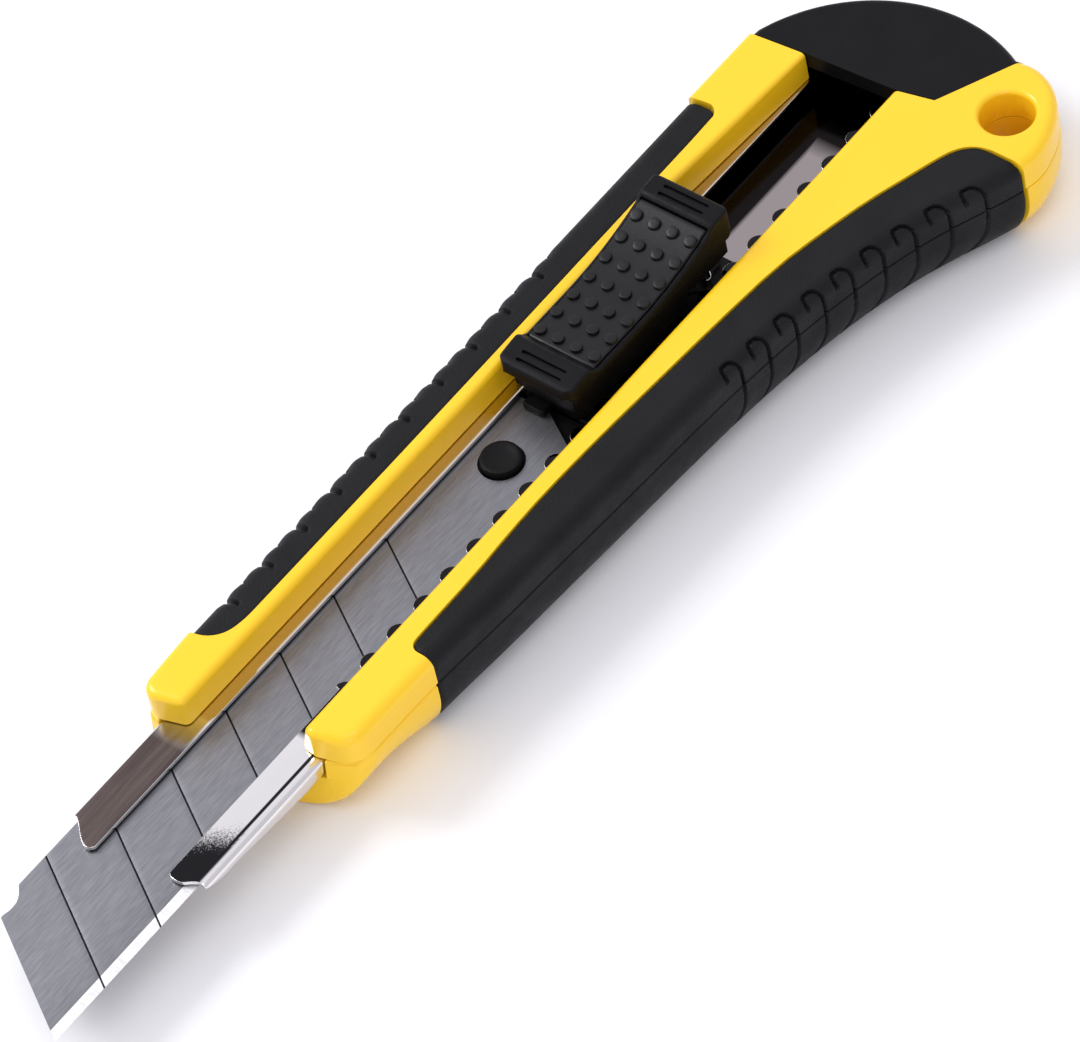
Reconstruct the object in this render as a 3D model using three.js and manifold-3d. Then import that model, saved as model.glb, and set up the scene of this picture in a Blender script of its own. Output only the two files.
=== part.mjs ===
// Snap-off knife with an 18 mm blade, a steel blade channel and a two-colour handle.
// Millimetres. +X runs along the knife towards the blade tip, +Y towards the cutting edge,
// +Z up through the thumb slider. The origin is on the flat underside of the handle,
// under the blade's centre line.

import * as THREE from 'three';
import { mergeVertices } from 'three/addons/utils/BufferGeometryUtils.js';
import Module from 'manifold-3d';

const wasm = await Module();
wasm.setup();

// ---------------------------------------------------------------- driving dimensions

const gap = 0.2; // clearance between pieces that sit on or in each other

const blade = {
  width: 18,
  thickness: 0.5,
  topZ: 8,
  tipX: 109.1,
  tailX: 7,
  segmentPitch: 10,
  firstScoreX: 90, // where the first score line meets the spine
  scores: 7,
  snapAngle: THREE.MathUtils.degToRad(60),
  bevelWidth: 1.25,
  scoreDepth: 0.12,
  scoreWidth: 0.22,
  holeX: 16.1,
  holeRadius: 3,
  bossRadius: 2.7,
};

const channel = {
  sheet: 0.5,
  innerLeft: -9.3,
  innerRight: 9.9,
  rearX: -54,
  frontX: 84,
  lipLeftEdge: -4.35,
  lipRightEdge: 5.5,
  lipGap: 0.3,
  floorTopZ: 6.4,
  rampStartX: 66,
  rampRise: 0.9,
  toothPitch: 5,
  toothFirstX: 53.3,
  toothCount: 22,
  toothTipY: 4.85,
  notchBaseY: 6.6,
  toothRadius: 1.45,
};

const handle = {
  topZ: 13.4,
  topEdge: 1,
  bottomEdgeWidth: 4.4,
  bottomEdgeHeight: 7.4,
  frontAtAxis: 65.5, // where the slanted nose face crosses the blade's centre line
  frontSlant: -0.287, // how far the nose face falls back per millimetre of +Y
  chinLean: 0.12, // how far the lower nose face comes forward per millimetre down
  windowLeft: -6.1,
  windowRight: 8.5,
  windowFootRight: 7.2,
  windowRearLeft: -4.6,
  tailCentre: [-44.5, 8.25],
  tailRadius: 22.2,
  gripDepth: 1.5,
  holeX: -56.3,
  holeY: 22.6,
  holeRadius: 3.45,
};

const lipTopZ = blade.topZ + channel.lipGap + channel.sheet;
const seamZ = lipTopZ; // top of the lower shell, level with the channel's lips
const upperBottomZ = seamZ + 0.15;
const bladeBottomZ = blade.topZ - blade.thickness;
const bladeHalf = blade.width / 2;
const snapRun = blade.width / Math.tan(blade.snapAngle);
const channelBottomZ = channel.floorTopZ - channel.sheet;
const channelOuterLeft = channel.innerLeft - channel.sheet;
const channelOuterRight = channel.innerRight + channel.sheet;
const far = 200; // half-size of the blocks that only cut

// ---------------------------------------------------------------- geometry helpers

// A closed three.js geometry as a solid that can be cut and joined.
function solid(geometry) {
  geometry.deleteAttribute('normal');
  geometry.deleteAttribute('uv');
  const merged = mergeVertices(geometry, 1e-4);
  const vertProperties = new Float32Array(merged.attributes.position.array);
  const corners = merged.index.array;
  const kept = [];
  for (let i = 0; i < corners.length; i += 3) {
    const [a, b, c] = corners.slice(i, i + 3);
    if (a !== b && b !== c && c !== a) {
      kept.push(a, b, c);
    }
  }
  const triVerts = new Uint32Array(kept);
  return new wasm.Manifold(new wasm.Mesh({ numProp: 3, vertProperties, triVerts }));
}

// A solid back as a named mesh with its own material.
function piece(name, body, color, roughness, metalness) {
  const cut = body.getMesh();
  const geometry = new THREE.BufferGeometry();
  geometry.setAttribute('position', new THREE.BufferAttribute(cut.vertProperties, 3));
  geometry.setIndex(new THREE.BufferAttribute(cut.triVerts, 1));
  geometry.computeVertexNormals();
  const material = new THREE.MeshStandardMaterial({ color, roughness, metalness });
  const mesh = new THREE.Mesh(geometry, material);
  mesh.name = name;
  return mesh;
}

function box(x0, x1, y0, y1, z0, z1) {
  const geometry = new THREE.BoxGeometry(x1 - x0, y1 - y0, z1 - z0);
  geometry.translate((x0 + x1) / 2, (y0 + y1) / 2, (z0 + z1) / 2);
  return solid(geometry);
}

function cylinder(x, y, radius, z0, z1, sides = 20) {
  const geometry = new THREE.CylinderGeometry(radius, radius, z1 - z0, sides);
  geometry.rotateX(Math.PI / 2);
  geometry.translate(x, y, (z0 + z1) / 2);
  return solid(geometry);
}

function polygon(points) {
  return new THREE.Shape(points.map(([x, y]) => new THREE.Vector2(x, y)));
}

// The same outline as straight steps, without the doubled points where its curves meet.
function stepped(shape, divisions) {
  const nearest = 0.05;
  const points = shape.getPoints(divisions);
  const apart = points.filter((point, i) => point.distanceTo(points[(i + 1) % points.length]) > nearest);
  return new THREE.Shape(apart);
}

// A plan outline raised from z0 to z1, widened all round by grow.
function raised(shape, z0, z1, grow = 0) {
  const lip = 0.01;
  const geometry = new THREE.ExtrudeGeometry(shape, {
    depth: z1 - z0,
    bevelEnabled: grow > 0,
    bevelSize: grow,
    bevelThickness: lip,
    bevelSegments: 1,
    curveSegments: 4,
  });
  geometry.translate(0, 0, z0);
  return solid(geometry);
}

// A side outline, drawn in X and Z, given a width from y0 to y1.
function sideways(shape, y0, y1) {
  const options = { depth: y1 - y0, bevelEnabled: false, curveSegments: 4 };
  const geometry = new THREE.ExtrudeGeometry(shape, options);
  geometry.rotateX(Math.PI / 2);
  geometry.translate(0, y1, 0);
  return solid(geometry);
}

// A cross-section, drawn in Y and Z, run from x0 to x1.
function lengthways(shape, x0, x1) {
  const options = { depth: x1 - x0, bevelEnabled: false, curveSegments: 4 };
  const geometry = new THREE.ExtrudeGeometry(shape, options);
  const turn = new THREE.Matrix4().makeBasis(
    new THREE.Vector3(0, 1, 0),
    new THREE.Vector3(0, 0, 1),
    new THREE.Vector3(1, 0, 0),
  );
  geometry.applyMatrix4(turn);
  geometry.translate(x0, 0, 0);
  return solid(geometry);
}

function joined(solids) {
  return solids.reduce((whole, next) => whole.add(next));
}

// ---------------------------------------------------------------- handle outlines

function noseX(y) {
  return handle.frontAtAxis + handle.frontSlant * y;
}

// The handle's outline seen from above, nose first, with the nose drawn noseExtra too long
// and its corners rounded over the length corner.
function handleOutline(noseExtra, corner) {
  const [tailX, tailY] = handle.tailCentre;
  const capStart = THREE.MathUtils.degToRad(160);
  const capEnd = THREE.MathUtils.degToRad(252);
  const at = (angle) => new THREE.Vector2(
    tailX + handle.tailRadius * Math.cos(angle),
    tailY + handle.tailRadius * Math.sin(angle),
  );
  const leftY = -12.1;
  const rightY = 14.9;
  const shape = new THREE.Shape();
  shape.moveTo(noseX(leftY) + noseExtra - corner, leftY);
  shape.quadraticCurveTo(noseX(leftY) + noseExtra, leftY, noseX(leftY) + noseExtra, leftY + corner);
  shape.lineTo(noseX(rightY - corner) + noseExtra, rightY - corner);
  shape.quadraticCurveTo(noseX(rightY) + noseExtra, rightY, noseX(rightY) + noseExtra - corner, rightY);
  shape.lineTo(52, 14.9);
  shape.splineThru([
    new THREE.Vector2(35, 15.9),
    new THREE.Vector2(15, 17),
    new THREE.Vector2(-8, 18.3),
    new THREE.Vector2(-26, 20.7),
    new THREE.Vector2(-40, 24.9),
    new THREE.Vector2(-47.5, 28.4),
    new THREE.Vector2(-52.5, 29.9),
    new THREE.Vector2(-58.5, 28.5),
    new THREE.Vector2(-63.4, 24.4),
    at(capStart),
  ]);
  shape.absarc(tailX, tailY, handle.tailRadius, capStart, capEnd, false);
  shape.lineTo(-38, -13.1);
  shape.lineTo(56, -12.5);
  return shape;
}

// The whole handle between two heights, its top and bottom edges rounded, its sides set in by inset.
function handleBlank(z0, z1, edgeWidth, edgeHeight, noseExtra, inset) {
  const smallest = 0.3;
  const width = Math.max(edgeWidth - inset, smallest);
  const height = Math.max(edgeHeight - inset, smallest);
  const corner = 1.3 + width + inset;
  const geometry = new THREE.ExtrudeGeometry(stepped(handleOutline(noseExtra, corner), 3), {
    depth: z1 - z0 - 2 * height,
    bevelEnabled: true,
    bevelSize: width,
    bevelThickness: height,
    bevelOffset: -width - inset,
    bevelSegments: 3,
  });
  geometry.translate(0, 0, z0 + height);
  return solid(geometry);
}

function upperBlank(inset) {
  const { topZ, topEdge } = handle;
  const blank = handleBlank(seamZ - 4, topZ - inset, topEdge, topEdge, 0, inset);
  return blank.intersect(box(-far, far, -far, far, upperBottomZ, far));
}

function lowerBlank(inset) {
  const { bottomEdgeWidth, bottomEdgeHeight, chinLean } = handle;
  const blank = handleBlank(inset, seamZ + 8, bottomEdgeWidth, bottomEdgeHeight, 12, inset);
  const behindNose = polygon([
    [-far, -far],
    [noseX(-far), -far],
    [noseX(far), far],
    [-far, far],
  ]);
  const lean = new THREE.Matrix4().makeShear(0, 0, 0, 0, -chinLean, 0);
  lean.setPosition(chinLean * seamZ, 0, 0);
  const front = raised(behindNose, -1, seamZ + 1).transform(lean.elements);
  return blank.intersect(front).intersect(box(-far, far, -far, far, -1, seamZ));
}

// Where the soft grips lie, seen from above.
function spineGripRegion() {
  return polygon([
    [58.6, -far],
    [58, -9.8],
    [56, -8.2],
    [53, -7.7],
    [17, -7.7],
    [-37.6, -8.1],
    [-39.2, -9.3],
    [-38.4, -far],
  ]);
}

function fingerGripRegion() {
  const shape = new THREE.Shape();
  shape.moveTo(-50.4, far);
  shape.lineTo(-50.4, 23.8);
  shape.quadraticCurveTo(-50.2, 21, -47.5, 20.2);
  shape.splineThru([
    new THREE.Vector2(-36, 16.3),
    new THREE.Vector2(-22, 13.2),
    new THREE.Vector2(0, 11.8),
    new THREE.Vector2(20, 10.8),
    new THREE.Vector2(34, 11.3),
    new THREE.Vector2(45.8, 11.5),
  ]);
  shape.quadraticCurveTo(46.8, 11.6, 46.8, 12.8);
  shape.lineTo(45.2, far);
  return shape;
}

// The part of the tail that the end cap covers.
function capRegion(inset) {
  return polygon([
    [-50.2 - inset, -far],
    [-50.2 - inset, -13],
    [-51.4 - inset, -5.7],
    [-52.2 - inset, 8.3],
    [-53.4 - inset, 13.8 - inset],
    [-70, 22.2 - inset],
    [-far, 22.2 - inset],
    [-far, -far],
  ]);
}

// The opening between the two rails, which the slider runs in. Its right wall leans outwards.
function railWindow() {
  const rearX = -54.5;
  const section = polygon([
    [handle.windowLeft, upperBottomZ - 1],
    [handle.windowFootRight, upperBottomZ - 1],
    [handle.windowFootRight, upperBottomZ],
    [handle.windowRight, handle.topZ],
    [handle.windowRight, handle.topZ + 1],
    [handle.windowLeft, handle.topZ + 1],
  ]);
  const narrowing = polygon([
    [far, handle.windowLeft],
    [far, far],
    [-far, far],
    [-far, handle.windowRearLeft],
    [-51, handle.windowRearLeft],
    [-24, handle.windowLeft],
  ]);
  return lengthways(section, rearX, far).intersect(raised(narrowing, -far, far));
}

// ---------------------------------------------------------------- handle shells and grips

const capTopWall = 2.4;
const capBottomWall = 1.6;
const capSideWall = 1.6;
const tongueTopZ = handle.topZ - capTopWall - gap;
const tongueBottomZ = capBottomWall + gap;
const tongueRearX = -61;
const tongueRightY = 12.6;
const loadingSlotZ = channel.floorTopZ + gap;
const pocketFloorZ = 3;
const ribPitch = 15;
const ribWidth = 1.6;
const spineRibs = { firstX: 52.6, pitch: 6.3, count: 8, width: 1.3, innerY: -11.9 };
const postRadius = 1.2;
const postDepth = 3.2;
const postSpots = [
  [54, 12.7],
  [-13, 13.4],
  [-31, 13.6],
  [-46.5, 15.5],
];

// A shell with its end-cap area cut back to the tongue that the cap slides over.
function withTongue(shell) {
  const covered = raised(capRegion(0), -far, far);
  const tongue = handleBlank(tongueBottomZ, tongueTopZ, 1, 1, 0, capSideWall + gap)
    .intersect(raised(capRegion(-1), -far, far))
    .intersect(box(tongueRearX, far, -far, tongueRightY, -far, far));
  return shell.subtract(covered).add(shell.intersect(tongue));
}

function lanyardHole() {
  return cylinder(handle.holeX, handle.holeY, handle.holeRadius, -1, handle.topZ + 1, 32);
}

// A shell with the two grips' beds cut into it: only the core under each grip is left.
function withGripBeds(blank, core) {
  const beds = raised(spineGripRegion(), -far, far, gap).add(raised(fingerGripRegion(), -far, far, gap));
  return blank.subtract(beds.subtract(core));
}

function upperShell() {
  const core = upperBlank(handle.gripDepth + gap);
  const shell = withTongue(withGripBeds(upperBlank(0), core))
    .subtract(railWindow())
    .subtract(lanyardHole());
  const posts = postSpots.map(([x, y]) => cylinder(x, y, postRadius, seamZ - postDepth, upperBottomZ + 1));
  return shell.add(joined(posts));
}

function lowerShell() {
  const core = lowerBlank(handle.gripDepth + gap);
  const trough = box(
    channel.rearX - gap, far, channelOuterLeft - gap, channelOuterRight + gap, channelBottomZ - gap, far,
  );
  const loadingSlot = box(-far, channel.rearX, channel.innerLeft, channel.innerRight, loadingSlotZ, far);
  const pockets = [];
  for (let x = -46; x < 50; x += ribPitch) {
    pockets.push(box(x, x + ribPitch - ribWidth, -8.2, 8.6, pocketFloorZ, far));
  }
  const sidePockets = [
    box(-28.6, -15.4, 12.4, 15.2, pocketFloorZ, far),
    box(-44, -33.6, 12.4, 15.6, pocketFloorZ, far),
  ];
  const sockets = postSpots.map(
    ([x, y]) => cylinder(x, y, postRadius + gap, seamZ - postDepth - gap, far),
  );
  return withTongue(withGripBeds(lowerBlank(0), core))
    .subtract(trough)
    .subtract(loadingSlot)
    .subtract(joined([...pockets, ...sidePockets, ...sockets]))
    .subtract(lanyardHole());
}

// One half of a grip: the skin over the shell's core, inside the grip's region.
function gripHalf(region, makeBlank) {
  return makeBlank(0).subtract(makeBlank(handle.gripDepth)).intersect(raised(region, -far, far));
}

// Cuts across the outer edge of the spine grip that give the thumb a hold.
function spineNotches() {
  const notches = [];
  for (let i = 0; i < spineRibs.count; i += 1) {
    const x = spineRibs.firstX - i * spineRibs.pitch;
    notches.push(box(x - spineRibs.width / 2, x + spineRibs.width / 2, -far, spineRibs.innerY, -far, far));
  }
  return joined(notches);
}

function endCap() {
  const upper = handleBlank(seamZ - 4, handle.topZ, handle.topEdge, handle.topEdge, 0, 0)
    .intersect(box(-far, far, -far, far, seamZ - 1, far));
  const cavity = handleBlank(capBottomWall, handle.topZ - capTopWall, 1, 1, 0, capSideWall)
    .intersect(box(tongueRearX - gap, far, -far, tongueRightY + gap, -far, far));
  return upper.add(lowerBlank(0)).intersect(raised(capRegion(gap), -far, far)).subtract(cavity);
}

// ---------------------------------------------------------------- blade and its channel

function bladeChannel() {
  const { rearX, sheet, rampStartX, rampRise, frontX } = channel;
  const lipBottomZ = lipTopZ - sheet;
  const rampFrontX = frontX - 4;
  const floor = sideways(
    polygon([
      [rearX, channelBottomZ],
      [rampStartX, channelBottomZ],
      [rampFrontX, channelBottomZ + rampRise],
      [rampFrontX, channel.floorTopZ + rampRise],
      [rampStartX, channel.floorTopZ],
      [rearX, channel.floorTopZ],
    ]),
    channelOuterLeft,
    channelOuterRight,
  );
  const wallSide = polygon([
    [rearX, channelBottomZ],
    [rampStartX, channelBottomZ],
    [rampFrontX, channelBottomZ + rampRise],
    [frontX, lipBottomZ],
    [frontX, lipTopZ],
    [rearX, lipTopZ],
  ]);
  const leftLip = polygon([
    [rearX, channelOuterLeft],
    [frontX, channelOuterLeft],
    [frontX + 2.8, -5.2],
    [frontX + 2.4, channel.lipLeftEdge],
    [rearX, channel.lipLeftEdge],
  ]);
  const straightEnd = channel.toothFirstX;
  const rightLip = polygon([
    [rearX, channel.notchBaseY],
    [straightEnd, channel.notchBaseY],
    [straightEnd, channel.lipRightEdge],
    [frontX + 0.6, channel.lipRightEdge],
    [frontX + 1, channel.lipRightEdge + 0.8],
    [frontX - 0.3, channelOuterRight - 1.2],
    [frontX - 0.3, channelOuterRight],
    [rearX, channelOuterRight],
  ]);
  const teeth = [];
  for (let i = 0; i < channel.toothCount; i += 1) {
    const x = channel.toothFirstX - i * channel.toothPitch;
    const rootY = channel.toothTipY + channel.toothRadius;
    teeth.push(cylinder(x, rootY, channel.toothRadius, lipBottomZ, lipTopZ, 16));
  }
  return joined([
    floor,
    sideways(wallSide, channelOuterLeft, channel.innerLeft),
    sideways(wallSide, channel.innerRight, channelOuterRight),
    raised(leftLip, lipBottomZ, lipTopZ),
    raised(rightLip, lipBottomZ, lipTopZ),
    ...teeth,
  ]);
}

// The whole blade: one strip of steel whose score lines only weaken it where it snaps.
function snapBlade() {
  const { topZ, bevelWidth, tipX, tailX } = blade;
  const section = polygon([
    [-bladeHalf, bladeBottomZ],
    [bladeHalf - bevelWidth, bladeBottomZ],
    [bladeHalf, bladeBottomZ + 0.2],
    [bladeHalf, topZ - 0.2],
    [bladeHalf - bevelWidth, topZ],
    [-bladeHalf, topZ],
  ]);
  const plan = polygon([
    [tailX, -bladeHalf + 2],
    [tailX + 2, -bladeHalf],
    [tipX - snapRun, -bladeHalf],
    [tipX, bladeHalf],
    [tailX + 5.2, bladeHalf],
    [tailX, 0],
  ]);
  const strip = lengthways(section, -far, far).intersect(raised(plan, -1, topZ + 1));
  const scores = [];
  for (let i = 0; i < blade.scores; i += 1) {
    const spineX = blade.firstScoreX - i * blade.segmentPitch;
    const half = blade.scoreWidth / 2;
    const line = polygon([
      [spineX - half, -bladeHalf],
      [spineX + half, -bladeHalf],
      [spineX + snapRun + half, bladeHalf],
      [spineX + snapRun - half, bladeHalf],
    ]);
    scores.push(raised(line, topZ - blade.scoreDepth, topZ + 1));
  }
  const hole = cylinder(blade.holeX, 0, blade.holeRadius, -1, topZ + 1, 24);
  return strip.subtract(joined(scores)).subtract(hole);
}

// ---------------------------------------------------------------- carriage, slider and lock

const carriageRearX = -24;
const carriageBottomZ = channel.floorTopZ + gap;
const carriageTopZ = lipTopZ - channel.sheet - gap;
const neckTopZ = lipTopZ + 0.1;
const sliderBottomZ = neckTopZ + gap;
const pegSpots = [1, -12];
const peg = { length: 3, width: 2.4, depth: 1.6, y: -1.6 };
const sliderHalf = 5.65;
const neckLeft = -4.2;
const neckRight = 5.2;
const pad = {
  frontX: 3,
  rearX: -19.8,
  half: 5,
  thickness: 0.7,
  dotRows: 7,
  dotColumns: 4,
  firstDotX: 1.6,
  dotRowPitch: 3.2,
  dotColumnPitch: 2.75,
  dotRadius: 0.75,
  dotHeight: 0.4,
};

// A thin strip of constant width that follows a path, seen from above.
function stripOutline(path, width) {
  const left = [];
  const right = [];
  path.forEach(([x, y], i) => {
    const [px, py] = path[Math.max(i - 1, 0)];
    const [nx, ny] = path[Math.min(i + 1, path.length - 1)];
    const length = Math.hypot(nx - px, ny - py);
    const sideX = (-(ny - py) / length) * (width / 2);
    const sideY = ((nx - px) / length) * (width / 2);
    left.push([x + sideX, y + sideY]);
    right.unshift([x - sideX, y - sideY]);
  });
  return polygon([...left, ...right]);
}

// The carriage rides in the channel under its lips, with a tongue and a boss for the blade.
function bladeCarrier() {
  const frontX = blade.tailX - 0.8;
  const tongueTop = bladeBottomZ - gap;
  const block = box(carriageRearX, frontX, -8.9, 9.5, carriageBottomZ, carriageTopZ);
  const neck = box(carriageRearX + 2, frontX, -4, 4.4, carriageTopZ - 1, neckTopZ);
  const tongue = box(frontX - 2, blade.holeX + 4.4, -6, 6, carriageBottomZ, tongueTop);
  const boss = cylinder(blade.holeX, 0, blade.bossRadius, tongueTop - 0.5, blade.topZ + 1, 24);
  const tab = box(frontX - 1, blade.tailX + 1.4, -3, 0.2, blade.topZ + gap, neckTopZ);
  const springBay = box(-far, -3, 0.8, far, 6.9, far);
  const pegHoles = pegSpots.map((x) => box(
    x - peg.length / 2 - gap,
    x + peg.length / 2 + gap,
    peg.y - peg.width / 2 - gap,
    peg.y + peg.width / 2 + gap,
    sliderBottomZ - peg.depth - gap,
    far,
  ));
  return joined([block, neck, tongue, boss, tab]).subtract(springBay).subtract(joined(pegHoles));
}

// The leaf spring whose bent end drops between two teeth of the channel, drawn just clear of them.
function lockSpring() {
  const path = [
    [-4, 1.2],
    [-9, 1.3],
    [-14, 1.7],
    [-17.2, 2.3],
    [-18.3, 3.6],
    [-18.9, 4.4],
    [-19.5, 4.4],
    [-20.2, 3.4],
    [-21.4, 2.9],
    [-22.8, 3],
  ];
  return raised(stripOutline(path, 0.4), 7.1, neckTopZ);
}

// Height of the pad's hollow top: level in front, rising towards the rear.
function padTopZ(x) {
  const levelUntilX = -5;
  return 15 + 0.0115 * Math.min(x - levelUntilX, 0) ** 2;
}

// The pad's top line from front to rear, moved up by rise, as points of a side outline.
function padLine(frontX, rearX, rise) {
  const steps = 8;
  const points = [];
  for (let i = 0; i <= steps; i += 1) {
    const x = frontX + ((rearX - frontX) * i) / steps;
    points.push([x, padTopZ(x) + rise]);
  }
  return points;
}

// The pad's own side outline, or with a margin the bed that it lies in.
function padSide(margin, rise) {
  const top = padLine(pad.frontX + margin, pad.rearX - margin, rise);
  const bottom = padLine(pad.frontX + margin, pad.rearX - margin, -pad.thickness - margin);
  return polygon([...top, ...bottom.reverse()]);
}

function thumbSlider() {
  const headZ = handle.topZ + 0.3;
  const headPlan = polygon([
    [8.6, -sliderHalf + 1.2],
    [8.6, sliderHalf - 1.2],
    [7.4, sliderHalf],
    [-23, sliderHalf],
    [-23.8, sliderHalf - 0.8],
    [-23.8, -sliderHalf + 0.8],
    [-23, -sliderHalf],
    [7.4, -sliderHalf],
  ]);
  const headSide = polygon([
    [6.6, headZ],
    [8.6, headZ + 0.7],
    [8.4, 15.7],
    [4.2, 16.2],
    ...padLine(pad.frontX + 0.6, pad.rearX - 0.2, 0),
    [-20.4, 18],
    [-23.4, 18.2],
    [-23.8, 17.4],
    [-23.6, 15.2],
    [-22.6, headZ],
  ]);
  const head = sideways(headSide, -sliderHalf, sliderHalf).intersect(raised(headPlan, -far, far));
  const neck = box(-22.6, 6.6, neckLeft, neckRight, sliderBottomZ, headZ + 0.8);
  const bed = sideways(padSide(gap, 3), -pad.half - gap, pad.half + gap);
  const springReach = box(-far, -14, 1.2, far, -far, 11);
  const pegs = pegSpots.map((x) => box(
    x - peg.length / 2,
    x + peg.length / 2,
    peg.y - peg.width / 2,
    peg.y + peg.width / 2,
    sliderBottomZ - peg.depth,
    sliderBottomZ + 1,
  ));
  return head.add(neck).subtract(bed).subtract(springReach).add(joined(pegs));
}

// The soft dotted panel on top of the slider.
function thumbPad() {
  const panel = sideways(padSide(0, 0), -pad.half, pad.half);
  const dots = [];
  for (let row = 0; row < pad.dotRows; row += 1) {
    const x = pad.firstDotX - row * pad.dotRowPitch;
    for (let column = 0; column < pad.dotColumns; column += 1) {
      const y = (column - (pad.dotColumns - 1) / 2) * pad.dotColumnPitch;
      dots.push(cylinder(x, y, pad.dotRadius, padTopZ(x) - 0.5, padTopZ(x) + pad.dotHeight, 10));
    }
  }
  return panel.add(joined(dots));
}

// ---------------------------------------------------------------- the assembly

const yellow = 0xf7c71c;
const softBlack = 0x26272b;
const hardBlack = 0x1b1c1f;

const knife = new THREE.Group();
knife.add(
  piece('body_upper_shell', upperShell(), yellow, 0.35, 0),
  piece('body_lower_shell', lowerShell(), yellow, 0.35, 0),
  piece('spine_grip_upper', gripHalf(spineGripRegion(), upperBlank).subtract(spineNotches()), softBlack, 0.8, 0),
  piece('spine_grip_lower', gripHalf(spineGripRegion(), lowerBlank).subtract(spineNotches()), softBlack, 0.8, 0),
  piece('finger_grip_upper', gripHalf(fingerGripRegion(), upperBlank), softBlack, 0.8, 0),
  piece('finger_grip_lower', gripHalf(fingerGripRegion(), lowerBlank), softBlack, 0.8, 0),
  piece('end_cap', endCap(), hardBlack, 0.6, 0),
  piece('blade_channel', bladeChannel(), 0xc9c9cc, 0.15, 1),
  piece('snap_blade', snapBlade(), 0x8d8f96, 0.35, 1),
  piece('blade_carrier', bladeCarrier(), hardBlack, 0.6, 0),
  piece('lock_spring', lockSpring(), 0xd5d5d8, 0.15, 1),
  piece('thumb_slider', thumbSlider(), hardBlack, 0.6, 0),
  piece('thumb_pad', thumbPad(), softBlack, 0.8, 0),
);

export default knife;
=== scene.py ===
"""The looks of a snap-off knife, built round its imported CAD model.

Shapes are worked out in millimetres in the CAD frame: +X runs along the blade to its tip,
+Y from the blade's spine to its cutting edge, and +Z up out of the side with the slider.
"""

import math

import bmesh
import bpy
from mathutils import Matrix, Vector
from mathutils.geometry import tessellate_polygon


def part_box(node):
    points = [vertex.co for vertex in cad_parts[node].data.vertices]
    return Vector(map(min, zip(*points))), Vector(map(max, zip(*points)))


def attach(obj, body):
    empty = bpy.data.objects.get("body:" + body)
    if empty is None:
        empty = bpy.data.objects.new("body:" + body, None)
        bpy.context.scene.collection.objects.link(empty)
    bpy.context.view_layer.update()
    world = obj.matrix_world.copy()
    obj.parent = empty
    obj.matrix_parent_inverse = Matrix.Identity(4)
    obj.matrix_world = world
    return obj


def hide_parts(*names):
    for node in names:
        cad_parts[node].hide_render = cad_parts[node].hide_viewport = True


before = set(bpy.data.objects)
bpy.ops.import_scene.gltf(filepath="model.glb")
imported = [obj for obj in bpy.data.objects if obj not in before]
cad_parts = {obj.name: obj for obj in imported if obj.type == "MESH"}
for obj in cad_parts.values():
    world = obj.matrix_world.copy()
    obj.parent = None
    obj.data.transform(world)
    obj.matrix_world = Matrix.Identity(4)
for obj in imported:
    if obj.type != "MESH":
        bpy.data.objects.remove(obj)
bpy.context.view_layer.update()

MM = 0.001
GAP = 0.12  # between pieces that meet
SHEET = 0.5  # thickness of the channel's steel
BEVEL_WIDTH = 1.3  # of the blade's ground edge
SHARP_ANGLE = 40  # edges that turn by more degrees than this are shaded as sharp
CUTTER_EDGE = 0.01  # rounding of a cutter's lower edge, too small to see


def box_mm(node):
    """The lowest and highest corner of a CAD node, in millimetres."""
    low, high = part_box(node)
    return low / MM, high / MM


# ---------------------------------------------------------------- sizes taken from the CAD model

UPPER_LOW, UPPER_HIGH = box_mm("body_upper_shell")
CHANNEL_LOW, CHANNEL_HIGH = box_mm("blade_channel")
BLADE_LOW, BLADE_HIGH = box_mm("snap_blade")
PAD_LOW, PAD_HIGH = box_mm("thumb_pad")
CARRIER_LOW, CARRIER_HIGH = box_mm("blade_carrier")

TOP_Z = UPPER_HIGH.z
SEAM_Z = box_mm("body_lower_shell")[1].z
UPPER_Z = box_mm("spine_grip_upper")[0].z  # underside of the upper shell and grips
LEFT_LIMIT = UPPER_LOW.y + 0.03
LIP_TOP_Z = CHANNEL_HIGH.z
BLADE_TOP_Z = BLADE_HIGH.z
HALF_WIDTH = BLADE_HIGH.y

NOSE_CORNER = (8.6, 8.4)  # width and height of the big rounding under the nose's right side
BODY_CORNER = (4.5, 7.0)
LEFT_CORNER = (3.0, 4.5)
NOSE_X = 65.4  # where the nose face crosses the blade's centre line
NOSE_SLANT = -0.287
CHIN_LEAN = 0.12
LANYARD = (-56.3, 22.6, 3.45)  # centre X, Y and radius of the eye

# Lines of the handle seen from above, as (x, y) from nose to tail.
SPINE_LINE = [
    (70, -12.0), (63, -12.35), (58.4, -12.6), (30, -12.8), (-39, LEFT_LIMIT), (-55, LEFT_LIMIT),
]
FINGER_LINE = [
    (70, 14.9), (52, 14.9), (44, 15.2), (35, 15.9), (25, 16.4), (15, 17), (3, 17.6), (-8, 18.3),
    (-17, 19.3), (-26, 20.8), (-34, 22.8), (-40, 24.85), (-47.5, 28.2), (-50.4, 29.3), (-52.5, 29.85),
]
FINGER_BORDER = [
    (46.7, 12.9), (46.6, 12.3), (46.2, 11.8), (45.6, 11.5), (44, 11.42), (34, 11.35), (27, 10.95),
    (20, 10.8), (10, 11.1), (0, 11.7), (-11, 12.35), (-22, 13.2), (-29, 14.6), (-36, 16.3), (-42, 18.3),
    (-46.2, 19.7), (-48, 20.5), (-49.3, 21.6), (-50.1, 23.0), (-50.4, 24.6),
]
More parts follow.
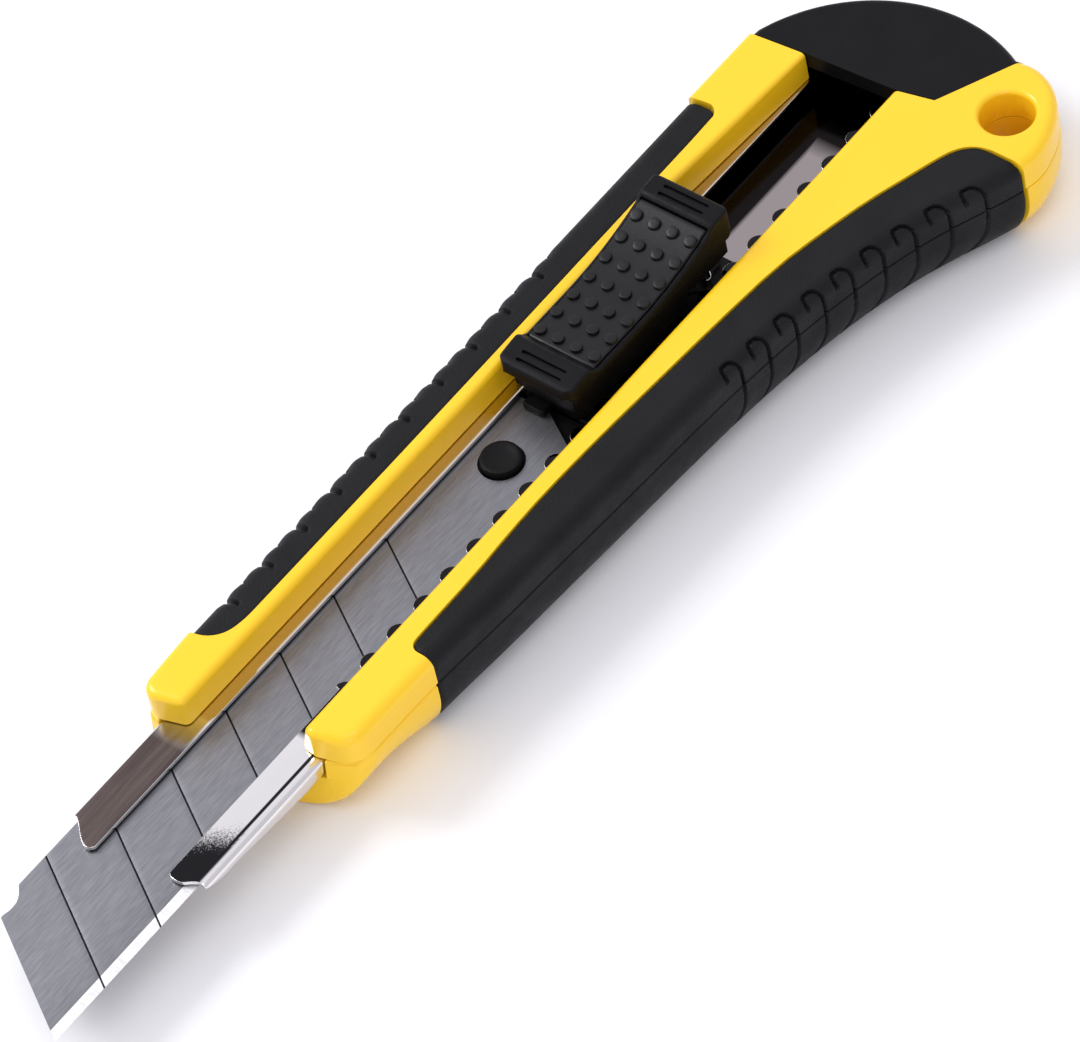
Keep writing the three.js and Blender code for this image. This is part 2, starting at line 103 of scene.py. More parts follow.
SPINE_BORDER = [
    (58.6, -12.2), (58.3, -10.7), (57.7, -9.6), (56.8, -8.7), (55.6, -8.1), (53.6, -7.75), (52, -7.7),
    (17, -7.7), (-20, -8.0), (-37.2, -8.1), (-38.2, -8.5), (-38.9, -9.4), (-38.9, -10.2), (-38.6, -12.2),
]


# ---------------------------------------------------------------- small helpers

def between(line, x):
    """The Y of a line given as points of falling X."""
    if x >= line[0][0]:
        return line[0][1]
    for (x0, y0), (x1, y1) in zip(line, line[1:]):
        if x >= x1:
            return y0 + (y1 - y0) * (x0 - x) / (x0 - x1)
    return line[-1][1]


def steps(start, end, count):
    """count + 1 numbers from start to end."""
    return [start + (end - start) * i / count for i in range(count + 1)]


def smoothstep(low, high, value):
    t = min(max((value - low) / (high - low), 0.0), 1.0)
    return t * t * (3 - 2 * t)


def smoothed(line, rounds=2):
    """A line with its corners cut off, its ends kept."""
    for _ in range(rounds):
        shorter = [line[0]]
        for (x0, y0), (x1, y1) in zip(line, line[1:]):
            shorter.append((0.75 * x0 + 0.25 * x1, 0.75 * y0 + 0.25 * y1))
            shorter.append((0.25 * x0 + 0.75 * x1, 0.25 * y0 + 0.75 * y1))
        shorter.append(line[-1])
        line = shorter
    return line


FINGER_LINE = smoothed(FINGER_LINE)
FINGER_BORDER = smoothed(FINGER_BORDER, 1)
SPINE_BORDER = smoothed(SPINE_BORDER, 1)


def make_object(name, vertices, faces, material, smooth=True, weighted=True):
    """A mesh object from points in millimetres."""
    mesh = bpy.data.meshes.new(name)
    mesh.from_pydata([Vector(v) * MM for v in vertices], [], faces)
    mesh.validate()
    mesh.polygons.foreach_set("use_smooth", [smooth] * len(mesh.polygons))
    mesh.update()
    made = bpy.data.objects.new(name, mesh)
    bpy.context.scene.collection.objects.link(made)
    if material:
        made.data.materials.append(material)
    if weighted:
        weigh_normals(made)
    return made


def weigh_normals(made, keep_sharp=True):
    """Lets the large faces settle the shading at the edges."""
    normals = made.modifiers.new("weighted_normals", "WEIGHTED_NORMAL")
    normals.keep_sharp = keep_sharp
    normals.weight = 80


def finish_piece(made, body, node):
    """Puts a piece on its body and lets it stand for its CAD node."""
    made.data.set_sharp_from_angle(angle=math.radians(SHARP_ANGLE))
    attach(made, body)
    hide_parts(node)


def loft(name, sections, material, **options):
    """A skin over closed sections that all have the same number of points."""
    vertices = [point for section in sections for point in section]
    count = len(sections[0])
    faces = []
    for i in range(len(sections) - 1):
        for j in range(count):
            k = (j + 1) % count
            here, ahead = i * count, (i + 1) * count
            faces.append((here + j, here + k, ahead + k, ahead + j))
    for i in (0, len(sections) - 1):
        ring = [i * count + j for j in range(count)]
        for triangle in tessellate_polygon([[Vector(vertices[j]) for j in ring]]):
            corner = [ring[j] for j in triangle]
            faces.append(tuple(corner if i else corner[::-1]))
    made = make_object(name, vertices, faces, material, **options)
    face_outwards(made)
    return made


def face_outwards(made, weld=False):
    """Makes every face of a closed mesh look outwards. weld first joins points that lie together."""
    work = bmesh.new()
    work.from_mesh(made.data)
    if weld:
        bmesh.ops.remove_doubles(work, verts=work.verts, dist=0.001 * MM)
    bmesh.ops.recalc_face_normals(work, faces=work.faces)
    work.to_mesh(made.data)
    work.free()


def arc(centre, radius, start, end, count):
    """Points on an arc from one angle in degrees to another, without its first point."""
    turns = [math.radians(angle) for angle in steps(start, end, count)[1:]]
    return [(centre[0] + radius * math.cos(a), centre[1] + radius * math.sin(a)) for a in turns]


def straight(start, end, count):
    """Points at equal steps along a line, without its first point."""
    return list(zip(steps(start[0], end[0], count), steps(start[1], end[1], count)))[1:]


def circle(x, y, radius, count):
    """Points (x, y) round a circle."""
    turns = [2 * math.pi * k / count for k in range(count)]
    return [(x + radius * math.cos(a), y + radius * math.sin(a)) for a in turns]


def turned(name, x, y, profile, count, material, **options):
    """A round solid about an upright axis, from a profile of (radius, z)."""
    sections = [[(px, py, z) for px, py in circle(x, y, radius, count)] for radius, z in profile]
    return loft(name, sections, material, **options)


def rounded_outline(corners, spacing=2.0):
    """A closed outline of (x, y, edge) from corners given as (x, y, corner radius, edge size)."""
    outline = []
    count = len(corners)
    for i, (x, y, radius, edge) in enumerate(corners):
        here = Vector((x, y))
        back = Vector(corners[i - 1][:2]) - here
        ahead = Vector(corners[(i + 1) % count][:2]) - here
        angle = back.angle(ahead)
        if radius <= 0 or angle > math.radians(177):
            outline.append((x, y, edge))
            continue
        reach = min(radius / math.tan(angle / 2), 0.48 * back.length, 0.48 * ahead.length)
        radius = reach * math.tan(angle / 2)
        start = here + back.normalized() * reach
        end = here + ahead.normalized() * reach
        inwards = (back.normalized() + ahead.normalized()).normalized()
        centre = here + inwards * (radius / math.sin(angle / 2))
        turn = math.pi - angle
        pieces = max(2, int(turn / math.radians(11)))
        a0 = math.atan2(start.y - centre.y, start.x - centre.x)
        a1 = math.atan2(end.y - centre.y, end.x - centre.x)
        sweep = (a1 - a0 + math.pi) % (2 * math.pi) - math.pi
        for t in steps(0, 1, pieces):
            a = a0 + sweep * t
            outline.append((centre.x + radius * math.cos(a), centre.y + radius * math.sin(a), edge))
    filled = []
    for i, (x, y, edge) in enumerate(outline):
        nx, ny, next_edge = outline[(i + 1) % len(outline)]
        cuts = max(1, int(math.hypot(nx - x, ny - y) / spacing))
        for k in range(cuts):
            t = k / cuts
            filled.append((x + (nx - x) * t, y + (ny - y) * t, edge + (next_edge - edge) * t))
    return filled


def outline_normals(outline):
    """Outward normals of a counter-clockwise outline, longer at corners so that offsets stay parallel."""
    normals = []
    count = len(outline)
    for i in range(count):
        x, y = outline[i][:2]
        bx, by = outline[i - 1][:2]
        ax, ay = outline[(i + 1) % count][:2]
        first = Vector((y - by, bx - x))
        second = Vector((ay - y, x - ax))
        first.normalize()
        second.normalize()
        middle = first + second
        middle.normalize()
        normals.append(middle / max(middle.dot(second), 0.6))
    return normals


def plate(
    name, corners, z_low, z_high, material, low_edge=0.15, low_ratio=1.0, bend=None, spacing=2.0, **options
):
    """A flat solid with rounded edges. bend moves each finished point."""
    area = sum(a[0] * b[1] - b[0] * a[1] for a, b in zip(corners, [*corners[1:], corners[0]]))
    outline = rounded_outline(corners if area > 0 else corners[::-1], spacing)
    normals = outline_normals(outline)

    def ring(z_of, inset_of):
        points = []
        for (x, y, edge), normal in zip(outline, normals):
            inset = inset_of(edge)
            point = (x - normal.x * inset, y - normal.y * inset, z_of(edge))
            points.append(bend(point) if bend else point)
        return points

    rings = []
    for angle in steps(0, math.pi / 2, 2 if low_edge < 0.5 else 9):
        z = z_low + low_edge * low_ratio * (1 - math.cos(angle))
        inset = low_edge * (1 - math.sin(angle))
        rings.append(ring(lambda e, z=z: z, lambda e, inset=inset: inset))
    if max(edge for _, _, edge in outline) < 0.01:
        rings.append(ring(lambda e: z_high, lambda e: 0))
    else:
        for angle in steps(0, math.pi / 2, 6):
            rings.append(ring(
                lambda e, a=angle: z_high - e * (1 - math.sin(a)),
                lambda e, a=angle: e * (1 - math.cos(a)),
            ))
        rings.append(ring(lambda e: z_high, lambda e: e + 0.12))
    return loft(name, rings, material, **options)


def block(corners, z_low=-5.0, z_high=40.0):
    """A sharp upright solid over (x, y) corners, for cutting with."""
    sharp = [(x, y, 0, 0) for x, y in corners]
    return plate("block", sharp, z_low, z_high, None, low_edge=CUTTER_EDGE, weighted=False)


def bar(rear_x, front_x, low_y, high_y, rear_radius=0.0, front_radius=0.0, edge=0.0):
    """The corners of a rectangle, for plate."""
    return [
        (rear_x, low_y, rear_radius, edge),
        (front_x, low_y, front_radius, edge),
        (front_x, high_y, front_radius, edge),
        (rear_x, high_y, rear_radius, edge),
    ]


def size_of(made):
    """A mesh's numbers of points and faces."""
    return len(made.data.vertices), len(made.data.polygons)


def cut(made, cutter, operation="DIFFERENCE"):
    """Cuts one object out of another, or keeps only what is inside it, and throws the cutter away."""
    before = size_of(made)
    boolean = made.modifiers.new("cut", "BOOLEAN")
    boolean.operation = operation
    boolean.object = cutter
    boolean.solver = "MANIFOLD"
    apply_modifiers(made)
    bpy.data.objects.remove(cutter)
    if size_of(made) in ((0, 0), before):
        raise RuntimeError(f"a cut of {made.name} emptied it or did nothing")


def apply_modifiers(made):
    """Turns the shape that the modifiers give into the mesh itself. Weighted normals stay a modifier."""
    weighted = [m for m in made.modifiers if m.type == "WEIGHTED_NORMAL"]
    for modifier in weighted:
        made.modifiers.remove(modifier)
    bpy.context.view_layer.update()
    graph = bpy.context.evaluated_depsgraph_get()
    shaped = bpy.data.meshes.new_from_object(made.evaluated_get(graph))
    old = made.data
    made.modifiers.clear()
    made.data = shaped
    bpy.data.meshes.remove(old)
    if weighted:
        weigh_normals(made)


def join_into(made, others):
    """Adds the meshes of other objects to one object."""
    work = bmesh.new()
    work.from_mesh(made.data)
    for other in others:
        work.from_mesh(other.data)
        bpy.data.objects.remove(other)
    work.to_mesh(made.data)
    work.free()


def nose_x(y):
    return NOSE_X + NOSE_SLANT * y


# ---------------------------------------------------------------- materials

NOISE_RANGE = (0.3, 0.7)


class Surface:
    """A node material being put together."""

    def __init__(self, name, color, roughness, metallic=0.0, specular=0.5):
        self.material = bpy.data.materials.new(name)
        self.material.use_nodes = True
        self.tree = self.material.node_tree
        self.shader = self.tree.nodes["Principled BSDF"]
        self.shader.inputs["Base Color"].default_value = (*color, 1)
        self.shader.inputs["Roughness"].default_value = roughness
        self.shader.inputs["Metallic"].default_value = metallic
        self.shader.inputs["Specular IOR Level"].default_value = specular
        self.place = self.node("ShaderNodeTexCoord").outputs["Object"]

    def node(self, kind, **settings):
        made = self.tree.nodes.new(kind)
        for key, value in settings.items():
            setattr(made, key, value)
        return made

    def link(self, source, target):
        self.tree.links.new(source, target)

    def stretched(self, scale):
        mapping = self.node("ShaderNodeMapping")
        mapping.inputs["Scale"].default_value = scale
        self.link(self.place, mapping.inputs["Vector"])
        return mapping.outputs["Vector"]

    def noise(self, scale, detail=3.0, stretch=(1, 1, 1), roughness=0.55):
        made = self.node("ShaderNodeTexNoise")
        made.inputs["Scale"].default_value = scale
        made.inputs["Detail"].default_value = detail
        made.inputs["Roughness"].default_value = roughness
        self.link(self.stretched(stretch), made.inputs["Vector"])
        return made.outputs["Fac"]

    def ramp(self, value, low_colour, high_colour):
        """A colour that goes from one to the other over the range that a noise mostly keeps to."""
        made = self.node("ShaderNodeValToRGB")
        stops = zip(made.color_ramp.elements, NOISE_RANGE, (low_colour, high_colour))
        for element, position, colour in stops:
            element.position = position
            element.color = (*colour, 1)
        self.link(value, made.inputs["Fac"])
        return made.outputs["Color"]

    def grey(self, value, low, high, dark=0.0, light=1.0):
        made = self.node("ShaderNodeMapRange")
        made.inputs["From Min"].default_value = low
        made.inputs["From Max"].default_value = high
        made.inputs["To Min"].default_value = dark
        made.inputs["To Max"].default_value = light
        self.link(value, made.inputs["Value"])
        return made.outputs["Result"]

    def mix(self, factor, first, second):
        made = self.node("ShaderNodeMix", data_type="RGBA")
        colours = [s for s in made.inputs if s.type == "RGBA"]
        for source, target in zip((first, second), colours):
            if isinstance(source, tuple):
                target.default_value = (*source, 1)
            else:
                self.link(source, target)
        if isinstance(factor, float):
            made.inputs["Factor"].default_value = factor
        else:
            self.link(factor, made.inputs["Factor"])
        return next(s for s in made.outputs if s.type == "RGBA")

    def combined(self, operation, first, second):
        made = self.node("ShaderNodeMath", operation=operation)
        self.link(first, made.inputs[0])
        self.link(second, made.inputs[1])
        return made.outputs["Value"]

    def product(self, first, second):
        return self.combined("MULTIPLY", first, second)

    def sum(self, first, second):
        return self.combined("ADD", first, second)

    def axis(self, letter):
        split = self.node("ShaderNodeSeparateXYZ")
        self.link(self.place, split.inputs["Vector"])
        return split.outputs[letter]

    def colour(self, source):
        self.link(source, self.shader.inputs["Base Color"])

    def gloss(self, source):
        self.link(source, self.shader.inputs["Roughness"])

    def varied_gloss(self, noise, low, high):
        self.gloss(self.grey(noise, *NOISE_RANGE, low, high))

    def bump(self, source, distance, strength):
        made = self.node("ShaderNodeBump")
        made.inputs["Strength"].default_value = strength
        made.inputs["Distance"].default_value = distance
        self.link(source, made.inputs["Height"])
        self.link(made.outputs["Normal"], self.shader.inputs["Normal"])


def moulded(name, base, roughness, specular, tone_noise, tones, gloss_noise, gloss, grain=None):
    """A moulded material. Its colour and gloss vary a little, and it may have a fine grain."""
    surface = Surface(name, base, roughness, specular=specular)
    surface.colour(surface.ramp(surface.noise(*tone_noise), *tones))
    surface.varied_gloss(surface.noise(*gloss_noise), *gloss)
    if grain:
        scale, depth, strength = grain
        surface.bump(surface.noise(scale, 2), depth, strength)
    return surface.material


def ground_blade():
    surface = Surface("ground_blade_steel", (0.2, 0.2, 0.22), 0.42, metallic=1.0)
    lengthways = surface.noise(3600, 3, (0.1, 1, 1), 0.6)
    blotches = surface.noise(120, 3, (0.4, 1, 1))
    face = surface.mix(
        0.35,
        surface.ramp(lengthways, (0.165, 0.167, 0.185), (0.27, 0.273, 0.295)),
        surface.ramp(blotches, (0.21, 0.212, 0.23), (0.25, 0.252, 0.275)),
    )
    across = surface.noise(2600, 3, (1, 0.06, 1), 0.7)
    bright = surface.ramp(across, (0.74, 0.74, 0.75), (0.97, 0.97, 0.98))
    bevel_start = (HALF_WIDTH - BEVEL_WIDTH) * MM
    on_bevel = surface.grey(surface.axis("Y"), bevel_start - 0.00002, bevel_start + 0.00002)
    surface.colour(surface.mix(on_bevel, face, bright))
    surface.gloss(surface.grey(on_bevel, 0, 1, 0.42, 0.5))
    surface.bump(lengthways, 0.00002, 0.5)
    return surface.material


# Painted shade: near-black steel that stands in for the shade inside the score grooves.
def painted_score_shade():
    surface = Surface("score_line_painted_shade", (0.03, 0.03, 0.033), 0.5, metallic=1.0)
    surface.colour(surface.ramp(surface.noise(1500, 2), (0.02, 0.02, 0.022), (0.05, 0.05, 0.055)))
    return surface.material


def channel_steel_painted_reflections():
    """Bright steel with painted reflections. The lips' tops are painted darker in front, brownish on the
    left and nearly black on the right, where they mirror dark surroundings; the left lip beside the rail
    carries a painted reflection of the yellow wall, and the floor behind the slider painted shade.
    """
    surface = Surface("bright_channel_steel", (0.75, 0.74, 0.74), 0.14, metallic=1.0)
    drawn = surface.noise(1400, 4, (0.04, 1, 1), 0.65)
    speckle = surface.noise(5200, 4, (0.7, 1, 1), 0.8)
    along = surface.axis("X")
    across = surface.axis("Y")
    height = surface.axis("Z")
    plain = surface.ramp(surface.noise(60, 3, (0.5, 1, 1)), (0.72, 0.70, 0.70), (0.84, 0.82, 0.82))
    # Painted reflection: the left lip's top in front of the nose is painted dark brownish, as if it mirrored
    # dark surroundings.
    painted_dark_reflection = surface.ramp(drawn, (0.085, 0.066, 0.06), (0.15, 0.12, 0.11))
    on_left = surface.grey(across, -0.0040, -0.0044)
    in_front = surface.grey(along, 0.0655, 0.0705)
    on_top = surface.grey(height, (LIP_TOP_Z - 0.12) * MM, (LIP_TOP_Z - 0.08) * MM)
    left_front = surface.product(surface.product(on_left, in_front), on_top)
    # Painted reflection: beside the rail the left lip is tinted by the yellow wall that it mirrors.
    beside_rail = surface.product(on_left, surface.grey(along, 0.0655, 0.0650))
    yellow_wall_reflection = surface.mix(beside_rail, plain, (0.66, 0.57, 0.46))
    shaded = surface.mix(left_front, yellow_wall_reflection, painted_dark_reflection)
    # Painted reflection: the right lip's top is painted nearly black at its front end, all the way back over
    # the teeth and in a line along its bend, as if it mirrored dark surroundings.
    on_right = surface.grey(across, 0.0040, 0.0042)
    before_bend = surface.grey(across, 0.0096, 0.0093)
    right_top = surface.product(surface.product(on_right, before_bend), on_top)
    slanted = surface.sum(along, surface.grey(across, 0.005, 0.010, 0.0, 0.0032))
    wobble = surface.sum(slanted, surface.grey(speckle, *NOISE_RANGE, -0.0022, 0.0022))
    dark_end = surface.grey(wobble, 0.0775, 0.0805)
    bend_line = surface.product(
        surface.grey(across, 0.0088, 0.0089),
        surface.grey(across, 0.00935, 0.00925),
    )
    dark_teeth = surface.grey(along, 0.0615, 0.0605)
    dark = surface.combined("MAXIMUM", surface.combined("MAXIMUM", dark_end, dark_teeth), bend_line)
    right_lip_painted_black = surface.product(right_top, dark)
    lips = surface.mix(right_lip_painted_black, shaded, (0.02, 0.02, 0.022))
    # Painted shade and reflection: behind the slider the channel's floor is painted a dull mauve. It is
    # painted nearly black under the left lip and towards the rear, where the real floor lies in shade.
    behind = surface.product(surface.grey(along, -0.018, -0.019), surface.grey(height, 0.0071, 0.0069))
    floor_left = surface.grey(across, FLOOR_SHADE_Y + 0.0003, FLOOR_SHADE_Y - 0.0003)
    floor_rear = surface.grey(along, FLOOR_SHADE_X + 0.0015, FLOOR_SHADE_X - 0.0015)
    floor_shade = surface.combined("MAXIMUM", floor_left, floor_rear)
    floor = surface.mix(floor_shade, (0.34, 0.30, 0.30), (0.012, 0.01, 0.01))
    surface.colour(surface.mix(behind, lips, floor))
    drawn_gloss = surface.grey(drawn, *NOISE_RANGE, 0.07, 0.16)
    surface.gloss(surface.sum(drawn_gloss, surface.grey(left_front, 0, 1, 0.0, 0.14)))
    surface.bump(drawn, 0.00001, 0.4)
    return surface.material


def chrome(name, colour, roughness, gloss_scale, gloss):
    surface = Surface(name, colour, roughness, metallic=1.0)
    surface.varied_gloss(surface.noise(gloss_scale, 2), *gloss)
    return surface.material


FLOOR_SHADE_Y = 0.0008  # left of this the channel's floor behind the slider is painted dark, as shade
FLOOR_SHADE_X = -0.0445  # and so is it behind this
YELLOW = moulded(
    "moulded_yellow", (0.97, 0.60, 0.014), 0.3, 0.5,
    (45, 1), ((0.965, 0.595, 0.012), (0.975, 0.612, 0.017)), (90, 2), (0.24, 0.29),
)
SOFT_BLACK = moulded(
    "soft_black_grip", (0.008, 0.008, 0.01), 0.5, 0.17,
    (120, 4), ((0.0055, 0.0058, 0.007), (0.0085, 0.009, 0.0105)), (260, 3), (0.46, 0.62),
    grain=(2800, 0.00008, 0.9),
)
HARD_BLACK = moulded(
    "moulded_black", (0.004, 0.004, 0.005), 0.42, 0.13,
    (200, 3), ((0.0032, 0.0032, 0.004), (0.005, 0.005, 0.006)), (500, 3), (0.34, 0.5),
    grain=(3000, 0.00004, 0.5),
)
PAD_BLACK = moulded(
    "pad_black", (0.004, 0.004, 0.005), 0.36, 0.3,
    (200, 3), ((0.003, 0.003, 0.0038), (0.005, 0.005, 0.006)), (500, 3), (0.3, 0.42),
    grain=(3000, 0.00003, 0.4),
)
BLADE_STEEL = ground_blade()
CHANNEL_STEEL = channel_steel_painted_reflections()
SPRING_STEEL = chrome("spring_chrome", (0.85, 0.85, 0.86), 0.08, 900, (0.05, 0.14))
RIM_STEEL = chrome("rim_chrome", (0.9, 0.89, 0.88), 0.12, 1200, (0.08, 0.18))
SCORE_SHADE_PAINT = painted_score_shade()


# ---------------------------------------------------------------- handle, upper half

WINDOW_LEFT = -6.1
WINDOW_RIGHT = 8.5
WINDOW_FOOT = 7.2  # the right rail's wall leans out as it rises
CAP_FRONT = [(-50.2, -20.0), (-51.4, -5.7), (-52.2, 8.3), (-53.4, 13.8), (-72.0, 23.2)]
CAP_CENTRE = (-44.5, 8.25)
CAP_RADIUS = 22.1
LOBE_LINE = smoothed([
    (-64.3, 19.25), (-64.5, 20.2), (-64.3, 22.0), (-63.3, 24.3), (-61.4, 26.5), (-58.8, 28.2),
    (-55.6, 29.35), (-52.8, 29.75), (-50.6, 29.3),
])


def left_rail():
    outer = [(x, y, 0, 0.9) for x, y in reversed(SPINE_LINE[1:]) if x > -53]
    corners = [
        (nose_x(WINDOW_LEFT), WINDOW_LEFT, 1.0, 0.9),
        (-24, WINDOW_LEFT, 0, 0.75),
        (-51.0, -4.65, 0, 0.6),
        (-53.5, -4.65, 0, 0.6),
        (-53.5, LEFT_LIMIT, 0, 0.9),
        *outer,
        (nose_x(-12.05), -12.05, 2.2, 1.0),
    ]
    rail = plate("upper_shell", corners, UPPER_Z, TOP_Z, YELLOW)
    cut(rail, block([*CAP_FRONT[:3], (-90, 8.3), (-90, -20)]))
    cut(rail, block([*SPINE_BORDER, (SPINE_BORDER[-1][0], -20), (SPINE_BORDER[0][0], -20)]))
    return rail


def right_rail():
    outer = [(x, y, 0, 1.5) for x, y in reversed(FINGER_LINE) if -50 < x < 56]
    lobe = [(x, y, 0, 1.3) for x, y in LOBE_LINE[2:]]
    corners = [
        (nose_x(WINDOW_RIGHT), WINDOW_RIGHT, 1.0, 0.8),
        (-50.5, WINDOW_RIGHT, 0, 0.7),
        (-57, WINDOW_RIGHT, 0, 0.7),
        (-65.2, 15.8, 0, 1.3),
        (-64.95, 17.4, 0, 1.3),
        *lobe,
        *outer,
        (nose_x(14.6), 14.9, 3.2, 1.5),
    ]

    def lean(point):
        x, y, z = point
        if y < WINDOW_RIGHT + 0.9 and x > -53:
            depth = (TOP_Z - z) / (TOP_Z - UPPER_Z)
            y -= (WINDOW_RIGHT - WINDOW_FOOT) * depth * (1 - smoothstep(8.5, 9.3, y))
        return (x, y, z)

    rail = plate("right_rail", corners, UPPER_Z, TOP_Z, YELLOW, bend=lean)
    cut(rail, block([(-52.2, 5), *CAP_FRONT[2:], (-90, 23.2), (-90, 5)]))
    front_x, rear_x = FINGER_BORDER[0][0], FINGER_BORDER[-1][0]
    cut(rail, block([*FINGER_BORDER, (rear_x, 36), (front_x, 36)]))
    return rail


def tail_blank(name, z_low, z_high, material, top_edge):
    """The whole tail as if it were one piece, with the body's rounded underside."""
    corners = [(x, y, 0, top_edge) for x, y in LOBE_LINE[2:]]
    corners += [(-44, 26.9, 0, top_edge), (-36, 23.6, 0, top_edge), (-30, 10, 0, top_edge)]
    corners += [(-36, LEFT_LIMIT, 0, top_edge), (-46, LEFT_LIMIT, 0, top_edge)]
    for angle in steps(math.radians(250), math.radians(153), 40):
        x = CAP_CENTRE[0] + CAP_RADIUS * math.cos(angle)
        y = CAP_CENTRE[1] + CAP_RADIUS * math.sin(angle)
        if y > LEFT_LIMIT + 0.05:
            corners.append((x, y, 0, top_edge))
    return plate(
        name, corners, z_low, z_high, material, low_edge=BODY_CORNER[0], low_ratio=1.55, spacing=1.0
    )


def tongue(z_low, z_high):
    """The two arms of a shell that the end cap slides over. A blade goes in between them."""
    corners = [
        (-49.5, -10.4, 0, 0.3),
        (-49.5, 12.4, 0, 0.3),
        (-60.6, 12.4, 1.0, 0.5),
        (-59.6, -4.2, 0, 0.5),
        (-56.2, -8.0, 0, 0.5),
        (-54.1, -9.95, 0, 0.3),
    ]
    made = plate("tongue", corners, z_low, z_high, YELLOW)
    cut(made, block([(-40, -9.0), (-40, 10.6), (-70, 10.6), (-70, -9.0)]))
    return made


def lanyard_cutter():
    """The eye as a solid to cut out, flared at both mouths so that its rims come out rounded."""
    x, y, radius = LANYARD
    flare = 0.7
    profile = [(radius + flare + 0.4, -1.0)]
    for angle in steps(0, math.pi / 2, 6):
        profile.append((radius + flare * (1 - math.sin(angle)), flare * (1 - math.cos(angle))))
    profile += [(r, TOP_Z - z) for r, z in reversed(profile)]
    return turned("eye_cutter", x, y, profile, 64, YELLOW, weighted=False)


upper = left_rail()
right = right_rail()
cut(right, lanyard_cutter())
upper_tongue = tongue(UPPER_Z, TOP_Z - 2.6)
join_into(upper, [right, upper_tongue])
finish_piece(upper, "handle", "body_upper_shell")


# ---------------------------------------------------------------- handle, lower half

SKIN = 1.5  # thickness of the soft grips
TROUGH = (CHANNEL_LOW.y - 0.2, CHANNEL_HIGH.y + 0.2, CHANNEL_LOW.z - 0.3)


def corner_arc(y, z, width, height, side, count=10):
    """Points of a rounded bottom corner, from the flat underside up to the side."""
    points = []
    for angle in steps(0, math.pi / 2, count):
        points.append((y - side * width * (1 - math.sin(angle)), z + height * (1 - math.cos(angle))))
    return points


def lower_section(left, right_y, right_corner, left_corner, inset=0.0):
    """One closed slice across the lower shell, trough included, as (y, z) points."""
    trough_left, trough_right, trough_z = TROUGH
    rim = SEAM_Z - inset * 0.6
    arcs = [*reversed(corner_arc(left + inset, inset, *left_corner, -1))]
    arcs += corner_arc(right_y - inset, inset, *right_corner, 1)
    outline = [(y, min(z, rim - 0.35)) for y, z in arcs]
    outline += [
        (right_y - inset, SEAM_Z - 0.3 - inset * 0.6),
        (right_y - 0.3 - inset, rim),
        (trough_right + 0.15, rim),
        (trough_right, rim - 0.15),
        (trough_right, trough_z),
        (trough_left, trough_z),
        (trough_left, rim - 0.15),
        (trough_left - 0.15, rim),
        (left + 0.3 + inset, rim),
        (left + inset, SEAM_Z - 0.3 - inset * 0.6),
    ]
    return outline


def corner_pull(past, radius):
    """How far a rounded corner lies behind a square one, past the start of the rounding."""
    t = min(max(past / radius, 0.0), 0.98)
    return radius * (1 - math.sqrt(1 - t * t))


def lower_body():
    spine_front, spine_rear = 58.7, -38.9
    finger_front, finger_rear = 46.9, -50.5
    places = [(NOSE_X, 0.9), (NOSE_X, 0.45), (NOSE_X - 0.12, 0.2), (NOSE_X - 0.5, 0.0)]
    spans = [(NOSE_X - 2, spine_front + 0.01, 5), (spine_front, finger_front + 0.01, 5)]
    spans += [(finger_front, spine_rear + 0.01, 40), (spine_rear, finger_rear, 6)]
    for span in spans:
        places += [(x, 0.0) for x in steps(*span)]
    sections = []
    for x, inset in places:
        left = between(SPINE_LINE, x)
        right_y = between(FINGER_LINE, x)
        if spine_rear < x <= spine_front:
            left += SKIN + 0.1
        if finger_rear <= x <= finger_front:
            right_y -= SKIN + 0.1
        nose = smoothstep(46, 56, x)
        right_corner = [b + (n - b) * nose for b, n in zip(BODY_CORNER, NOSE_CORNER)]
        outline = lower_section(left, right_y, right_corner, LEFT_CORNER, inset)
        slanted = smoothstep(52, NOSE_X, x)
        section = []
        for y, z in outline:
            shift = NOSE_SLANT * y + CHIN_LEAN * (SEAM_Z - z)
            pull = corner_pull(-9.85 - y, 2.2) + corner_pull(y - 11.7, 3.2)
            section.append((x + shift * slanted - pull * smoothstep(60, NOSE_X, x), y, z))
        sections.append(section)
    return loft("lower_shell", sections, YELLOW)


def lower_lobe():
    made = tail_blank("lower_lobe", 0.0, SEAM_Z, YELLOW, 0.15)
    round_the_eye = [(-50.6, 11.5), (-50.6, 40), (-80, 40), (-80, 27.2), CAP_FRONT[3], (-52.9, 11.5)]
    cut(made, block(round_the_eye), "INTERSECT")
    cut(made, lanyard_cutter())
    return made


lower = lower_body()
lower_tongue = tongue(3.3, CHANNEL_LOW.z - 0.2)
side_tongue = plate("side_tongue", bar(-54.5, -49.5, 10.8, 12.4, edge=0.2), 3.3, SEAM_Z, YELLOW)
join_into(lower, [lower_lobe(), lower_tongue, side_tongue])
finish_piece(lower, "handle", "body_lower_shell")


# ---------------------------------------------------------------- soft grips

GRIP_TOP_Z = TOP_Z - 0.15
GRIP_EDGE = 2.0
HOOKS = [-6.8 - 4.66 * i for i in range(9)]
HOOK_INSET = 1.1  # how far in from the grip's side the hooks start
HOOK_LINE = smoothed([
    (1.15, 2.0), (1.2, 1.0), (0.9, 0.15), (0.2, -0.1), (-0.5, 0.05), (-1.05, 0.8), (-1.2, 2.0),
    (-1.25, 4.0), (-1.2, 6.0), (-0.9, 8.0), (-0.1, 10.0), (1.0, 11.8), (1.9, 13.2),
], 1)
HOOK_DEPTH = 0.6
SPINE_SLOTS = [52.4 - 6.5 * i for i in range(10)]


